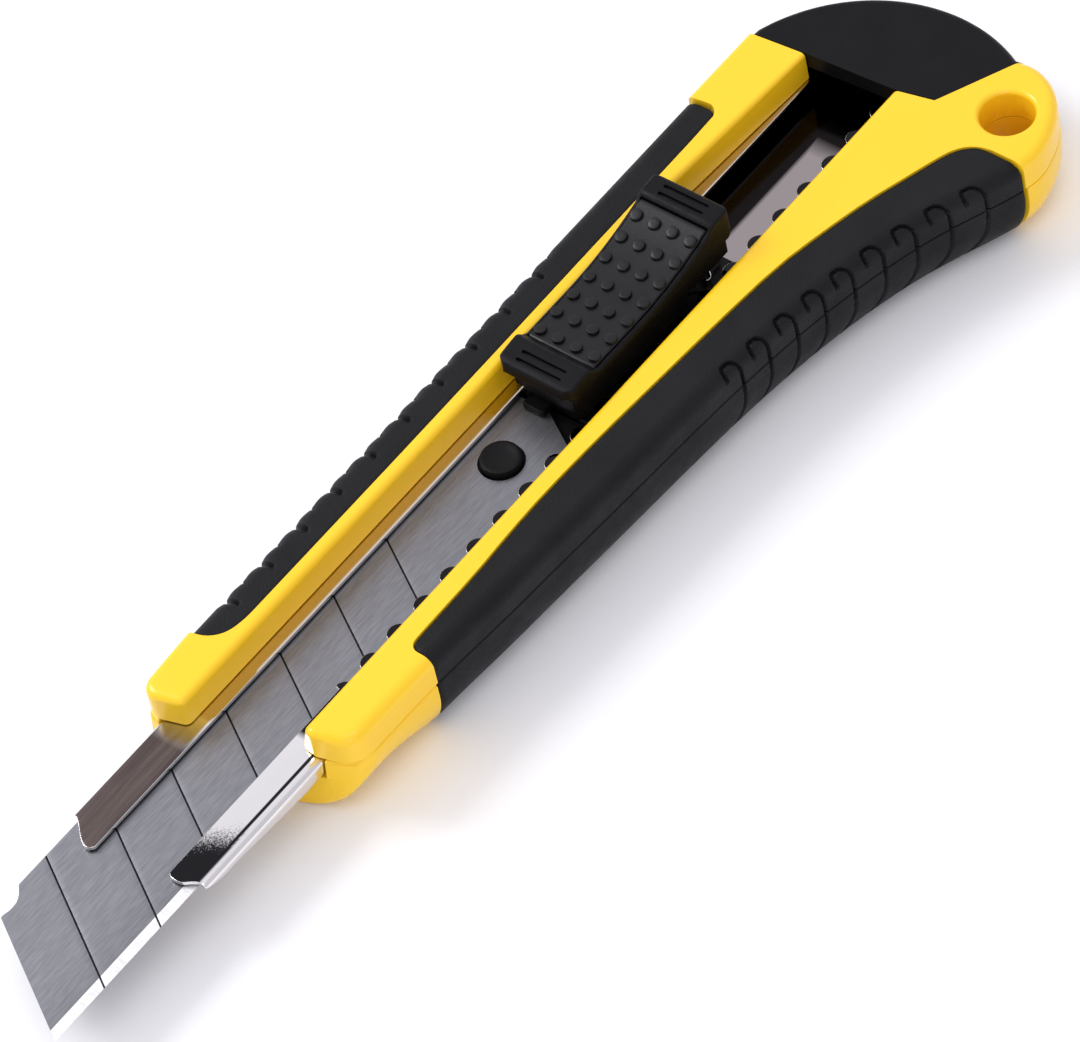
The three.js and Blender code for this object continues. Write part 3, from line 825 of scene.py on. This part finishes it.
def grip_places(front, rear, fine_front, fine_rear):
    """The X of every slice of a grip with how far the slice is shrunk: the ends are rounded off."""
    places = [(front, 0.45), (front - 0.08, 0.25), (front - 0.25, 0.1)]
    spans = [(front - 0.5, fine_front, (front - fine_front) / 0.5)]
    spans.append((fine_front, fine_rear, (fine_front - fine_rear) / 0.13))
    spans.append((fine_rear, rear + 0.5, (fine_rear - rear) / 0.5))
    places.append((front - 0.5, 0.0))
    for start, end, count in spans:
        places += [(x, 0.0) for x in steps(start, end, max(1, int(count)))[1:]]
    return places + [(rear + 0.25, 0.1), (rear + 0.08, 0.25), (rear, 0.45)]


def upper_outline(outer, border, inset):
    """A slice of a grip's upper half, as (y, z)."""
    top = GRIP_TOP_Z - inset
    edge = min(GRIP_EDGE, outer - border - 0.3)
    outline = [(border, UPPER_Z + 0.05), (border, top - 0.3)]
    outline += [(border + 0.08, top - 0.09), (border + 0.3, top)]
    flat_end = outer - edge
    inner_end = max(border + 0.35, outer - 4.2)
    outline += [(border + 0.3 + (inner_end - border - 0.3) * t, top) for t in steps(0.25, 1, 3)]
    outline += [(inner_end + (flat_end - inner_end) * t, top) for t in steps(0.08, 1, 12)]
    for angle in steps(math.radians(6), math.pi / 2, 15):
        outline.append((outer - edge * (1 - math.sin(angle)), top - edge * (1 - math.cos(angle))))
    side_top = top - edge
    outline += [(outer, side_top + (UPPER_Z + 0.1 - side_top) * t) for t in steps(0.1, 1, 9)]
    outline.append((outer - 0.1, UPPER_Z + 0.02))
    return outline


def lower_outline(outer, corner, inset):
    """A slice of a grip's lower half: a skin round the shell's rounded bottom corner, as (y, z)."""
    width, height = corner
    outline = [(outer - 0.1, SEAM_Z - 0.02), (outer, SEAM_Z - 0.12)]
    outline += [(outer, SEAM_Z - 0.12 - (SEAM_Z - 0.12 - height) * t) for t in steps(0.2, 1, 4)]
    outline += reversed(corner_arc(outer, inset, width, height, 1, 30)[:-1])
    outline += corner_arc(outer - SKIN, inset, width, height, 1)
    outline.append((outer - SKIN, SEAM_Z - 0.02))
    return outline


def grip_sections(places, edge_line, border_line, side, upper_half, relief):
    """Slices across one half of a grip. side is +1 on the finger side and -1 on the spine side."""
    corner = BODY_CORNER if side > 0 else LEFT_CORNER
    sections = []
    for x, inset in places:
        outer = side * between(edge_line, x) - inset
        border = min(side * between(border_line, x) + GAP + inset, outer - 0.6)
        if upper_half:
            outline = upper_outline(outer, border, inset)
        else:
            outline = lower_outline(outer, corner, inset)
        section = []
        for y, z in outline:
            facing = math.acos(min(max(1 - (GRIP_TOP_Z - z) / GRIP_EDGE, 0.0), 1.0))
            depth = relief(x, y, z, outer) if inset == 0 and y > outer - 4.0 else 0.0
            section.append((x, side * (y - depth * math.sin(facing)), z - depth * math.cos(facing)))
        sections.append(section)
    return sections


def round_the_side(y, z, outer):
    """Distance from the hooks' start over the grip's edge and down its side."""
    drop = GRIP_TOP_Z - z
    if drop < 0.001:
        return y - (outer - HOOK_INSET)
    start = HOOK_INSET - GRIP_EDGE
    if drop < GRIP_EDGE:
        return start + GRIP_EDGE * math.acos(1 - drop / GRIP_EDGE)
    return start + GRIP_EDGE * math.pi / 2 + drop - GRIP_EDGE


def hook_depth(x, y, z, outer):
    """Depth of the thin hook-shaped grooves that run over the finger side."""
    depth = 0.0
    for hook in HOOKS:
        if abs(x - hook) > 2.6:
            continue
        down = round_the_side(y, z, outer)
        segments = zip(HOOK_LINE, HOOK_LINE[1:])
        nearest = min(segment_distance(x - hook, down, start, end) for start, end in segments)
        depth = max(depth, HOOK_DEPTH * (1 - smoothstep(0.1, 0.3, nearest)))
    return depth


def segment_distance(x, y, start, end):
    (x0, y0), (x1, y1) = start, end
    dx, dy = x1 - x0, y1 - y0
    t = min(max(((x - x0) * dx + (y - y0) * dy) / (dx * dx + dy * dy), 0.0), 1.0)
    return math.hypot(x - x0 - t * dx, y - y0 - t * dy)


def spine_depth(x, y, z, outer):
    """Depth of the ribs across the spine side: long slots with short notches between them."""
    depth = 0.0
    inwards = outer - y
    for slot_x in SPINE_SLOTS:
        if abs(x - slot_x + 1.6) > 5.5:
            continue
        for shift, reach, deep, half in ((0.0, 2.9, 0.75, 0.42), (-3.25, 1.25, 0.4, 0.3)):
            off = abs(x - slot_x - shift)
            slot = 1 - smoothstep(half - 0.25, half + 0.12, off)
            end = 1 - smoothstep(reach - 0.4, reach, inwards)
            valley = 0.3 * deep * (1 - smoothstep(0.1, 1.5, off)) * (1 - smoothstep(0.6, 2.2, inwards))
            depth = max(depth, deep * slot * end, valley)
    return depth


def soft_grip(name, places, edge_line, border_line, side, relief):
    for part, node_part in (("top", "upper"), ("bottom", "lower")):
        sections = grip_sections(places, edge_line, border_line, side, part == "top", relief)
        made = loft(f"{name}_{part}", sections, SOFT_BLACK)
        finish_piece(made, "handle", f"{name}_{node_part}")


FINGER_PLACES = grip_places(46.65, -50.3, -4.0, -47.0)
SPINE_PLACES = grip_places(58.45, -38.4, 54.5, -11.0)
soft_grip("finger_grip", FINGER_PLACES, FINGER_LINE, FINGER_BORDER, 1, hook_depth)
soft_grip("spine_grip", SPINE_PLACES, SPINE_LINE, SPINE_BORDER, -1, spine_depth)


# ---------------------------------------------------------------- end cap

def end_cap():
    solid = tail_blank("rear_cap", 0.0, TOP_Z - 0.03, HARD_BLACK, 1.0)
    front = [(x - 0.15, y) for x, y in CAP_FRONT]
    cut(solid, block([*front, (-90, 32.0), (-90, -20)]), "INTERSECT")
    hollow = [(-40, -10.7), (-40, 12.6), (-61.0, 12.6), (-60.0, -4.2), (-56.5, -8.2), (-54.4, -10.15)]
    cut(solid, block(hollow, 3.0, TOP_Z - 2.4))
    finish_piece(solid, "cap", "end_cap")


end_cap()


# ---------------------------------------------------------------- steel channel

LIP_LEFT_EDGE = -4.35
LIP_RIGHT_EDGE = 5.5
TOOTH_PITCH = 5.0
TOOTH_FIRST_X = 53.3
TOOTH_BASE_Y = 6.6
TOOTH_TIP_Y = 4.85
TOOTH_RADIUS = 1.45
TOOTH_FIRST_FLAT = 0.6  # how far back the front tooth keeps its full reach
RAMP_START_X = 66.0
RAMP_END_X = 80.0
RAMP_RISE = 0.9


def right_lip_edge(x):
    """Where the right lip ends at x: straight in front, then a row of rounded teeth."""
    if x >= TOOTH_FIRST_X:
        return LIP_RIGHT_EDGE
    nearest = round((TOOTH_FIRST_X - x) / TOOTH_PITCH)
    off = abs(x - (TOOTH_FIRST_X - nearest * TOOTH_PITCH))
    if x > TOOTH_FIRST_X - TOOTH_FIRST_FLAT:
        off = 0
    if off >= TOOTH_RADIUS:
        return TOOTH_BASE_Y
    bump = TOOTH_TIP_Y + TOOTH_RADIUS - math.sqrt(TOOTH_RADIUS ** 2 - off ** 2)
    return min(bump, TOOTH_BASE_Y)


def channel_front(y, z):
    """X of the channel's front edge at a point of its section."""
    if z > LIP_TOP_Z - 0.6:
        if y < -4:
            return 84.0 + 2.9 * smoothstep(-9.8, -5.2, y) - 0.6 * smoothstep(-4.8, -4.35, y)
        return 84.9 - 1.2 * smoothstep(7.2, 9.4, y) - 0.5 * (1 - smoothstep(5.5, 6.2, y))
    return RAMP_END_X + (84.0 - RAMP_END_X) * smoothstep(7.0, LIP_TOP_Z - 0.4, z)


def channel_profile(x):
    """The middle of the sheet across the channel, from the left lip's edge to the right lip's."""
    rise = RAMP_RISE * min(max((x - RAMP_START_X) / (RAMP_END_X - RAMP_START_X), 0.0), 1.0)
    left = CHANNEL_LOW.y + SHEET / 2
    right_y = CHANNEL_HIGH.y - SHEET / 2
    top = LIP_TOP_Z - SHEET / 2
    bottom = CHANNEL_LOW.z + SHEET / 2 + rise
    bend = 0.55
    low_bend = 0.5
    edge = right_lip_edge(x)
    points = [(y, top) for y in steps(LIP_LEFT_EDGE, left + bend, 8)]
    points += arc((left + bend, top - bend), bend, 90, 180, 5)
    points += straight((left, top - bend), (left, bottom + low_bend), 5)
    points += arc((left + low_bend, bottom + low_bend), low_bend, 180, 270, 4)
    points += straight((left + low_bend, bottom), (right_y - low_bend, bottom), 10)
    points += arc((right_y - low_bend, bottom + low_bend), low_bend, 270, 360, 4)
    points += straight((right_y, bottom + low_bend), (right_y, top - bend), 5)
    points += arc((right_y - bend, top - bend), bend, 0, 90, 5)
    points += straight((right_y - bend, top), (edge, top), 8)
    return points


def steel_channel():
    places = steps(CHANNEL_LOW.x, 56, 520) + steps(57, 64, 4) + steps(65, 80, 24) + steps(80.4, 84, 12)
    columns = []
    for x in places:
        column = []
        for y, z in channel_profile(x):
            stretch = smoothstep(72, 84, x)
            column.append((x + (channel_front(y, z) - 84) * stretch, y, z))
        columns.append(column)
    vertices = [point for column in columns for point in column]
    count = len(columns[0])
    faces = []
    for i in range(len(columns) - 1):
        for j in range(count - 1):
            first = i * count + j
            faces.append((first, first + 1, first + count + 1, first + count))
    made = make_object("steel_channel", vertices, faces, CHANNEL_STEEL, weighted=False)
    sheet = made.modifiers.new("sheet", "SOLIDIFY")
    sheet.thickness = SHEET * MM
    sheet.offset = 0.0
    sheet.use_even_offset = True
    made.data.materials.append(RIM_STEEL)
    sheet.material_offset_rim = 1
    rim = made.modifiers.new("rim", "BEVEL")
    rim.width = 0.12 * MM
    rim.segments = 2
    rim.limit_method = "ANGLE"
    rim.angle_limit = math.radians(50)
    rim.material = 1
    weigh_normals(made, keep_sharp=False)
    finish_piece(made, "handle", "blade_channel")


steel_channel()


# ---------------------------------------------------------------- blade

SNAP_TAN = 1 / math.tan(math.radians(60))
FIRST_SCORE_X = 90.0
SCORE_PITCH = 10.0
SCORE_COUNT = 7
SCORE_HALF = 0.14
SCORE_DEPTH = 0.13
HOLE_X = 16.1  # the tail hole and the boss in it lie on the blade's centre line
HOLE_RADIUS = 2.95
BOSS_RADIUS = 2.65
TAIL = [  # the tail's cut corners: slice along the spine, and where that slice starts in Y
    (BLADE_LOW.x - HALF_WIDTH * SNAP_TAN, 0.0),
    (BLADE_LOW.x - 2 * SNAP_TAN, -7.0),
    (BLADE_LOW.x + 2, -9.0),
]
NICK = [  # the notch in the front spine corner: slice along the spine, and where that slice starts in Y
    (94.7, -9.0), (94.84, -8.9), (95.0, -8.55), (95.32, -8.0), (95.65, -7.72), (96.03, -7.5),
    (96.7, -7.43), (97.4, -7.45), (98.2, -7.65),
]


def blade_section(spine_x, sunk, spine_y=-100.0):
    """One slice across the blade along the snap angle, from the spine to the cutting edge and back."""
    low = BLADE_LOW.z
    top = BLADE_TOP_Z
    half = HALF_WIDTH
    outline = [
        (-half, low + 0.06), (-half, top - 0.06), (-half + 0.06, top - sunk), (-half + 0.5, top - sunk),
        (-3, top - sunk), (3, top - sunk), (half - BEVEL_WIDTH, top - sunk),
        (half - BEVEL_WIDTH / 2, top - 0.115 - sunk * 0.5),
        (half, (top + low) / 2 + 0.01), (half, (top + low) / 2 - 0.01),
        (half - BEVEL_WIDTH / 2, low + 0.115), (half - BEVEL_WIDTH, low), (-half + 0.06, low),
    ]
    moved = [(max(y, spine_y), z) for y, z in outline]
    return [(spine_x + (y + half) * SNAP_TAN, y, z) for y, z in moved]


def snap_blade():
    tip_spine_x = BLADE_HIGH.x - 2 * HALF_WIDTH * SNAP_TAN
    places = [(x, 0, y) for x, y in TAIL]
    scores = [FIRST_SCORE_X - i * SCORE_PITCH for i in range(SCORE_COUNT)]
    for x in reversed(scores):
        groove = [(1, 0), (SCORE_HALF + 0.05, 0), (SCORE_HALF, 0.006), (0.03, SCORE_DEPTH)]
        places += [(x - off, depth) for off, depth in groove]
        places += [(x + off, depth) for off, depth in reversed(groove)]
    places += [(x, 0, y) for x, y in NICK]
    places.append((tip_spine_x, 0, NICK[-1][1]))
    sections = [blade_section(*place) for place in places]
    made = loft("scored_blade", sections, BLADE_STEEL, weighted=False)
    face_outwards(made, weld=True)
    through = [(HOLE_RADIUS, 6.0), (HOLE_RADIUS, 10.0)]
    cut(made, turned("hole_cutter", HOLE_X, 0.0, through, 48, BLADE_STEEL, weighted=False))
    # The score grooves get the painted-shade steel.
    made.data.materials.append(SCORE_SHADE_PAINT)
    for polygon in made.data.polygons:
        polygon.use_smooth = False
        x, y, z = polygon.center / MM
        along_spine = x - (y + HALF_WIDTH) * SNAP_TAN
        in_score = any(abs(along_spine - score) < SCORE_HALF for score in scores)
        if in_score and z > BLADE_TOP_Z - 2 * SCORE_DEPTH:
            polygon.material_index = 1
    finish_piece(made, "blade_carriage", "snap_blade")


snap_blade()


# ---------------------------------------------------------------- carrier and lock spring

BAY_CORNER = 0.3  # radius of a bay's inner corner


def bay_cutter(rear_x, front_x, low_y, high_y, z_low, z_high):
    """A block that cuts a bay open to the rear and to the right."""
    corners = bar(rear_x, front_x, low_y, high_y)
    corners[1] = (front_x, low_y, BAY_CORNER, 0)
    return plate("bay_cutter", corners, z_low, z_high, HARD_BLACK, low_edge=CUTTER_EDGE, weighted=False)


def blade_carrier():
    """A flat carriage under the channel's lips, with a neck, a tongue under the blade, a boss and a tab."""
    low, high = CARRIER_LOW, CARRIER_HIGH
    under_lips = LIP_TOP_Z - SHEET - 0.2
    carriage_outline = bar(low.x, 6.2, low.y, high.y, 0.6, 0.4, 0.25)
    carriage = plate("carrier", carriage_outline, low.z, under_lips, HARD_BLACK)
    neck_outline = bar(low.x + 2, 6.2, -4, 4.4, 0.3, 0.5, 0.2)
    neck = plate("neck", neck_outline, under_lips - 1, high.z, HARD_BLACK)
    for made in (carriage, neck):
        cut(made, bay_cutter(-30, -3, 0.8, 12, 6.9, 12))
    tongue_outline = [
        (4, -6, 0, 0.1), (16, -6, 0, 0.1), (20.5, -3, 1.5, 0.1),
        (20.5, 3, 1.5, 0.1), (16, 6, 0, 0.1), (4, 6, 0, 0.1),
    ]
    blade_rest = plate("blade_rest", tongue_outline, low.z, BLADE_LOW.z - 0.15, HARD_BLACK, low_edge=0.05)
    tab_outline = bar(5, 8.3, -3, 0.2, 0.2, 0.5, 0.25)
    tab = plate("tab", tab_outline, BLADE_TOP_Z + 0.1, high.z, HARD_BLACK, low_edge=0.05)
    join_into(carriage, [neck, blade_rest, boss_piece(), tab])
    finish_piece(carriage, "blade_carriage", "blade_carrier")


def boss_piece():
    """The round boss that holds the blade by its hole, slightly dished."""
    top = BLADE_TOP_Z + 0.95
    profile = [(BOSS_RADIUS, 7.0), (BOSS_RADIUS, top - 0.3), (BOSS_RADIUS - 0.1, top - 0.09)]
    profile += [(BOSS_RADIUS - 0.3, top), (2.0, top - 0.02)]
    profile += [(1.7, top - 0.12), (0.9, top - 0.18), (0.02, top - 0.2)]
    return turned("boss", HOLE_X, 0.0, profile, 48, HARD_BLACK)


def lock_spring():
    low, high = box_mm("lock_spring")
    path = smoothed([
        (-4, 1.2), (-9, 1.3), (-14, 1.7), (-17.2, 2.3), (-18.3, 3.6), (-18.9, 4.35),
        (-19.5, 4.35), (-20.2, 3.4), (-21.4, 2.9), (-22.8, 3.0),
    ], 2)
    half = 0.2
    sections = []
    for i, (x, y) in enumerate(path):
        bx, by = path[max(i - 1, 0)]
        ax, ay = path[min(i + 1, len(path) - 1)]
        length = math.hypot(ax - bx, ay - by)
        nx, ny = -(ay - by) / length * half, (ax - bx) / length * half
        around = [(1, low.z + 0.05), (1, high.z - 0.05), (0.6, high.z)]
        around += [(-0.6, high.z), (-1, high.z - 0.05), (-1, low.z + 0.05)]
        sections.append([(x + nx * off, y + ny * off, z) for off, z in around])
    made = loft("leaf_spring", sections, SPRING_STEEL)
    finish_piece(made, "lock_pawl", "lock_spring")


blade_carrier()
lock_spring()


# ---------------------------------------------------------------- thumb slider

PAD_FRONT_X = PAD_HIGH.x
PAD_REAR_X = PAD_LOW.x
PAD_HALF = PAD_HIGH.y
HEAD_EDGE = 0.35  # the rounding along the slider's head
DOT_ROWS = 7
DOT_COLUMNS = 4
DOT_FIRST_X = 1.6
DOT_ROW_PITCH = 3.2
DOT_COLUMN_PITCH = 2.75
DOT_RADIUS = 0.8
DOT_HEIGHT = 0.4


def pad_top(x):
    """Height of the pad's hollow top: level in front, rising towards the rear."""
    return 15 + 0.0115 * min(x + 5, 0) ** 2


def head_top(x):
    """Height of the slider's head along its middle."""
    front_ridge = [
        (8.6, 14.5), (8.5, 15.2), (8.2, 15.6), (7.6, 15.8), (5.6, 16.05),
        (4.6, 16.15), (4.2, 16.1), (3.8, 15.7), (3.4, 15.25), (3.1, 15.05),
    ]
    rear_ridge = [
        (-19.8, 17.4), (-20.1, 17.7), (-20.4, 17.9), (-20.8, 18.0),
        (-23.0, 18.15), (-23.4, 18.1), (-23.7, 17.7), (-23.8, 17.2),
    ]
    if x >= 3.1:
        return between(front_ridge, x)
    if x <= -19.8:
        return between(rear_ridge, x)
    return pad_top(x) - 0.3


def slider_head():
    half = box_mm("thumb_slider")[1].y
    foot = TOP_Z + 0.3
    places = [8.6, 8.55, 8.4, 8.2, 7.9, 7.6, 7.0, 6.3, 5.6, 5.0, 4.6, 4.35, 4.1, 3.9, 3.7, 3.5, 3.3, 3.1]
    places += steps(2.5, -19.3, 40)
    places += [-19.8, -20.0, -20.2, -20.4, -20.6, -20.8, -21.4, -22, -22.6, -23, -23.3, -23.5, -23.7, -23.8]
    sections = []
    for x in places:
        width = half - 1.2 * smoothstep(7.4, 8.7, x) - 0.8 * (1 - smoothstep(-23.9, -23.0, x))
        top = head_top(x)
        low = foot + 0.6 * smoothstep(6.6, 8.6, x) + 1.5 * (1 - smoothstep(-23.8, -22.6, x))
        inner = width - HEAD_EDGE
        outline = [(-width, low), (-width, top - HEAD_EDGE)]
        outline += arc((-inner, top - HEAD_EDGE), HEAD_EDGE, 180, 90, 4)
        outline += straight((-inner, top), (inner, top), 5)
        outline += arc((inner, top - HEAD_EDGE), HEAD_EDGE, 90, 0, 4)
        outline.append((width, low))
        sections.append([(x, y, z) for y, z in outline])
    head = loft("slider", sections, HARD_BLACK)
    for x in (7.1, 5.9, -21.2, -22.4):
        cut(head, line_cutter(x, head_top(x), 3.4))
    cut(head, bed_cutter())
    return head


def line_cutter(x, top, half_length):
    """A thin rounded bar that engraves one line across the slider."""
    corners = bar(x - 0.24, x + 0.24, -half_length, half_length, 0.22, 0.22)
    return plate("line_cutter", corners, top - 0.5, top + 2, HARD_BLACK, low_edge=0.08, weighted=False)


def bed_cutter():
    """The hollow that the pad lies in."""
    half = PAD_HALF + 0.15
    sections = []
    for x in [PAD_FRONT_X + 0.2] + steps(2.8, -19.4, 30) + [PAD_REAR_X - 0.2]:
        base = pad_top(x) - 0.75
        sections.append([(x, -half, base), (x, half, base), (x, half, base + 6), (x, -half, base + 6)])
    return loft("bed_cutter", sections, HARD_BLACK, weighted=False)


def thumb_slider():
    """The stepped head on its neck, which is cut open to clear the leaf spring."""
    head = slider_head()
    neck_low = CARRIER_HIGH.z + 0.2
    neck = plate("slider_neck", bar(-22.6, 6.6, -4.2, 5.2, 0.3, 0.6, 0.1), neck_low, TOP_Z + 0.6, HARD_BLACK)
    cut(neck, bay_cutter(-40, -14, 1.2, 9, neck_low - 1, 11))
    step = plate("slider_step", bar(4, 7, -4.9, 5, 0.3, 0.6, 0.25), 10.4, 12.6, HARD_BLACK)
    join_into(head, [neck, step])
    finish_piece(head, "blade_carriage", "thumb_slider")


def thumb_pad():
    """The hollow panel with its studs."""
    half = PAD_HALF
    places = [PAD_FRONT_X, PAD_FRONT_X - 0.1, PAD_FRONT_X - 0.3]
    places += steps(2.4, -19.2, 60)
    places += [PAD_REAR_X + 0.3, PAD_REAR_X + 0.1, PAD_REAR_X]
    sections = []
    for x in places:
        ease = 0.2 * max(0.0, 1 - min(PAD_FRONT_X - x, x - PAD_REAR_X) / 0.3) ** 2
        top = pad_top(x) - ease
        base = pad_top(x) - 0.68
        across = [(-half, base), (-half, top - 0.15), (-half + 0.15, top), (-half / 2, top), (0, top)]
        across += [(half / 2, top), (half - 0.15, top), (half, top - 0.15), (half, base)]
        sections.append([(x, y, z) for y, z in across])
    panel = loft("dotted_pad", sections, PAD_BLACK)
    dots = []
    for row in range(DOT_ROWS):
        for column in range(DOT_COLUMNS):
            x = DOT_FIRST_X - row * DOT_ROW_PITCH
            y = (column - (DOT_COLUMNS - 1) / 2) * DOT_COLUMN_PITCH
            dots.append(dot(x, y))
    join_into(panel, dots)
    finish_piece(panel, "blade_carriage", "thumb_pad")


def dot(x, y):
    """A low round stud with a softened rim that follows the pad's slope."""
    slope = pad_top(x + 0.5) - pad_top(x - 0.5)
    profile = [(DOT_RADIUS, -0.2), (DOT_RADIUS, 0.02), (DOT_RADIUS - 0.02, DOT_HEIGHT - 0.09)]
    profile += [(DOT_RADIUS - 0.06, DOT_HEIGHT - 0.02), (DOT_RADIUS - 0.12, DOT_HEIGHT)]
    profile += [(0.3, DOT_HEIGHT + 0.01), (0.01, DOT_HEIGHT + 0.01)]
    sections = []
    for radius, height in profile:
        ring = circle(x, y, radius, 28)
        sections.append([(px, py, pad_top(x) + slope * (px - x) + height) for px, py in ring])
    return loft("dot", sections, PAD_BLACK)


thumb_slider()
thumb_pad()


# ---------------------------------------------------------------- floor, light and camera

def pale_floor():
    surface = Surface("pale_floor", (0.93, 0.93, 0.94), 0.75, specular=0.2)
    surface.colour(surface.ramp(surface.noise(12, 2), (0.925, 0.925, 0.94), (0.94, 0.94, 0.955)))
    size = 1500
    vertices = [(x, y, -0.02) for x, y in ((-size, -size), (size, -size), (size, size), (-size, size))]
    made = make_object("floor", vertices, [(0, 1, 2, 3)], surface.material, smooth=False, weighted=False)


def area_light(name, place, target, size, power, colour=(1, 1, 1)):
    light = bpy.data.lights.new(name, "AREA")
    light.shape = "RECTANGLE"
    light.size, light.size_y = size[0] * MM, size[1] * MM
    light.energy = power
    light.color = colour
    made = bpy.data.objects.new(name, light)
    made.location = Vector(place) * MM
    made.rotation_euler = (Vector(target) - Vector(place)).to_track_quat("-Z", "Y").to_euler()
    bpy.context.scene.collection.objects.link(made)


def studio():
    """Soft light all round, brightest where the flat steel faces mirror it."""
    world = bpy.data.worlds.new("studio")
    bpy.context.scene.world = world
    world.use_nodes = True
    nodes = world.node_tree.nodes
    links = world.node_tree.links
    background = nodes["Background"]
    background.inputs["Color"].default_value = (0.95, 0.94, 1.0, 1)
    place = nodes.new("ShaderNodeTexCoord")
    toward = nodes.new("ShaderNodeVectorMath")
    toward.operation = "DOT_PRODUCT"
    toward.inputs[1].default_value = (-0.42, -0.485, 0.766)
    strength = nodes.new("ShaderNodeMapRange")
    strength.interpolation_type = "SMOOTHSTEP"
    strength.inputs["From Min"].default_value = 0.55
    strength.inputs["From Max"].default_value = 0.95
    strength.inputs["To Min"].default_value = 0.76
    strength.inputs["To Max"].default_value = 1.0
    links.new(place.outputs["Generated"], toward.inputs[0])
    links.new(toward.outputs["Value"], strength.inputs["Value"])
    links.new(strength.outputs["Result"], background.inputs["Strength"])
    area_light("key", (190, -650, 670), (20, 0, 0), (420, 420), 4.4)
    area_light("top", (150, 250, 900), (0, 0, 0), (700, 500), 1.3)
    area_light("side", (500, 500, 300), (20, 0, 0), (300, 300), 0.5)


def camera():
    target = Vector((20.83, 9.65, 8.0))
    distance = 827.8
    azimuth = math.radians(48.89)
    elevation = math.radians(49.92)
    roll = math.radians(-13.60)
    back = Vector((
        math.cos(elevation) * math.cos(azimuth),
        math.cos(elevation) * math.sin(azimuth),
        math.sin(elevation),
    ))
    level = Vector((0, 0, 1)).cross(back).normalized()
    up = back.cross(level)
    right_axis = math.cos(roll) * level + math.sin(roll) * up
    up_axis = -math.sin(roll) * level + math.cos(roll) * up
    lens = bpy.data.cameras.new("photo_camera")
    lens.sensor_width = 36.0
    lens.lens = 233.84
    lens.clip_start = 0.01
    made = bpy.data.objects.new("photo_camera", lens)
    turn = Matrix((right_axis, up_axis, back)).transposed().to_4x4()
    made.matrix_world = Matrix.Translation((target + back * distance) * MM) @ turn
    bpy.context.scene.collection.objects.link(made)
    bpy.context.scene.camera = made


pale_floor()
studio()
camera()
bpy.context.scene.view_settings.view_transform = "Standard"
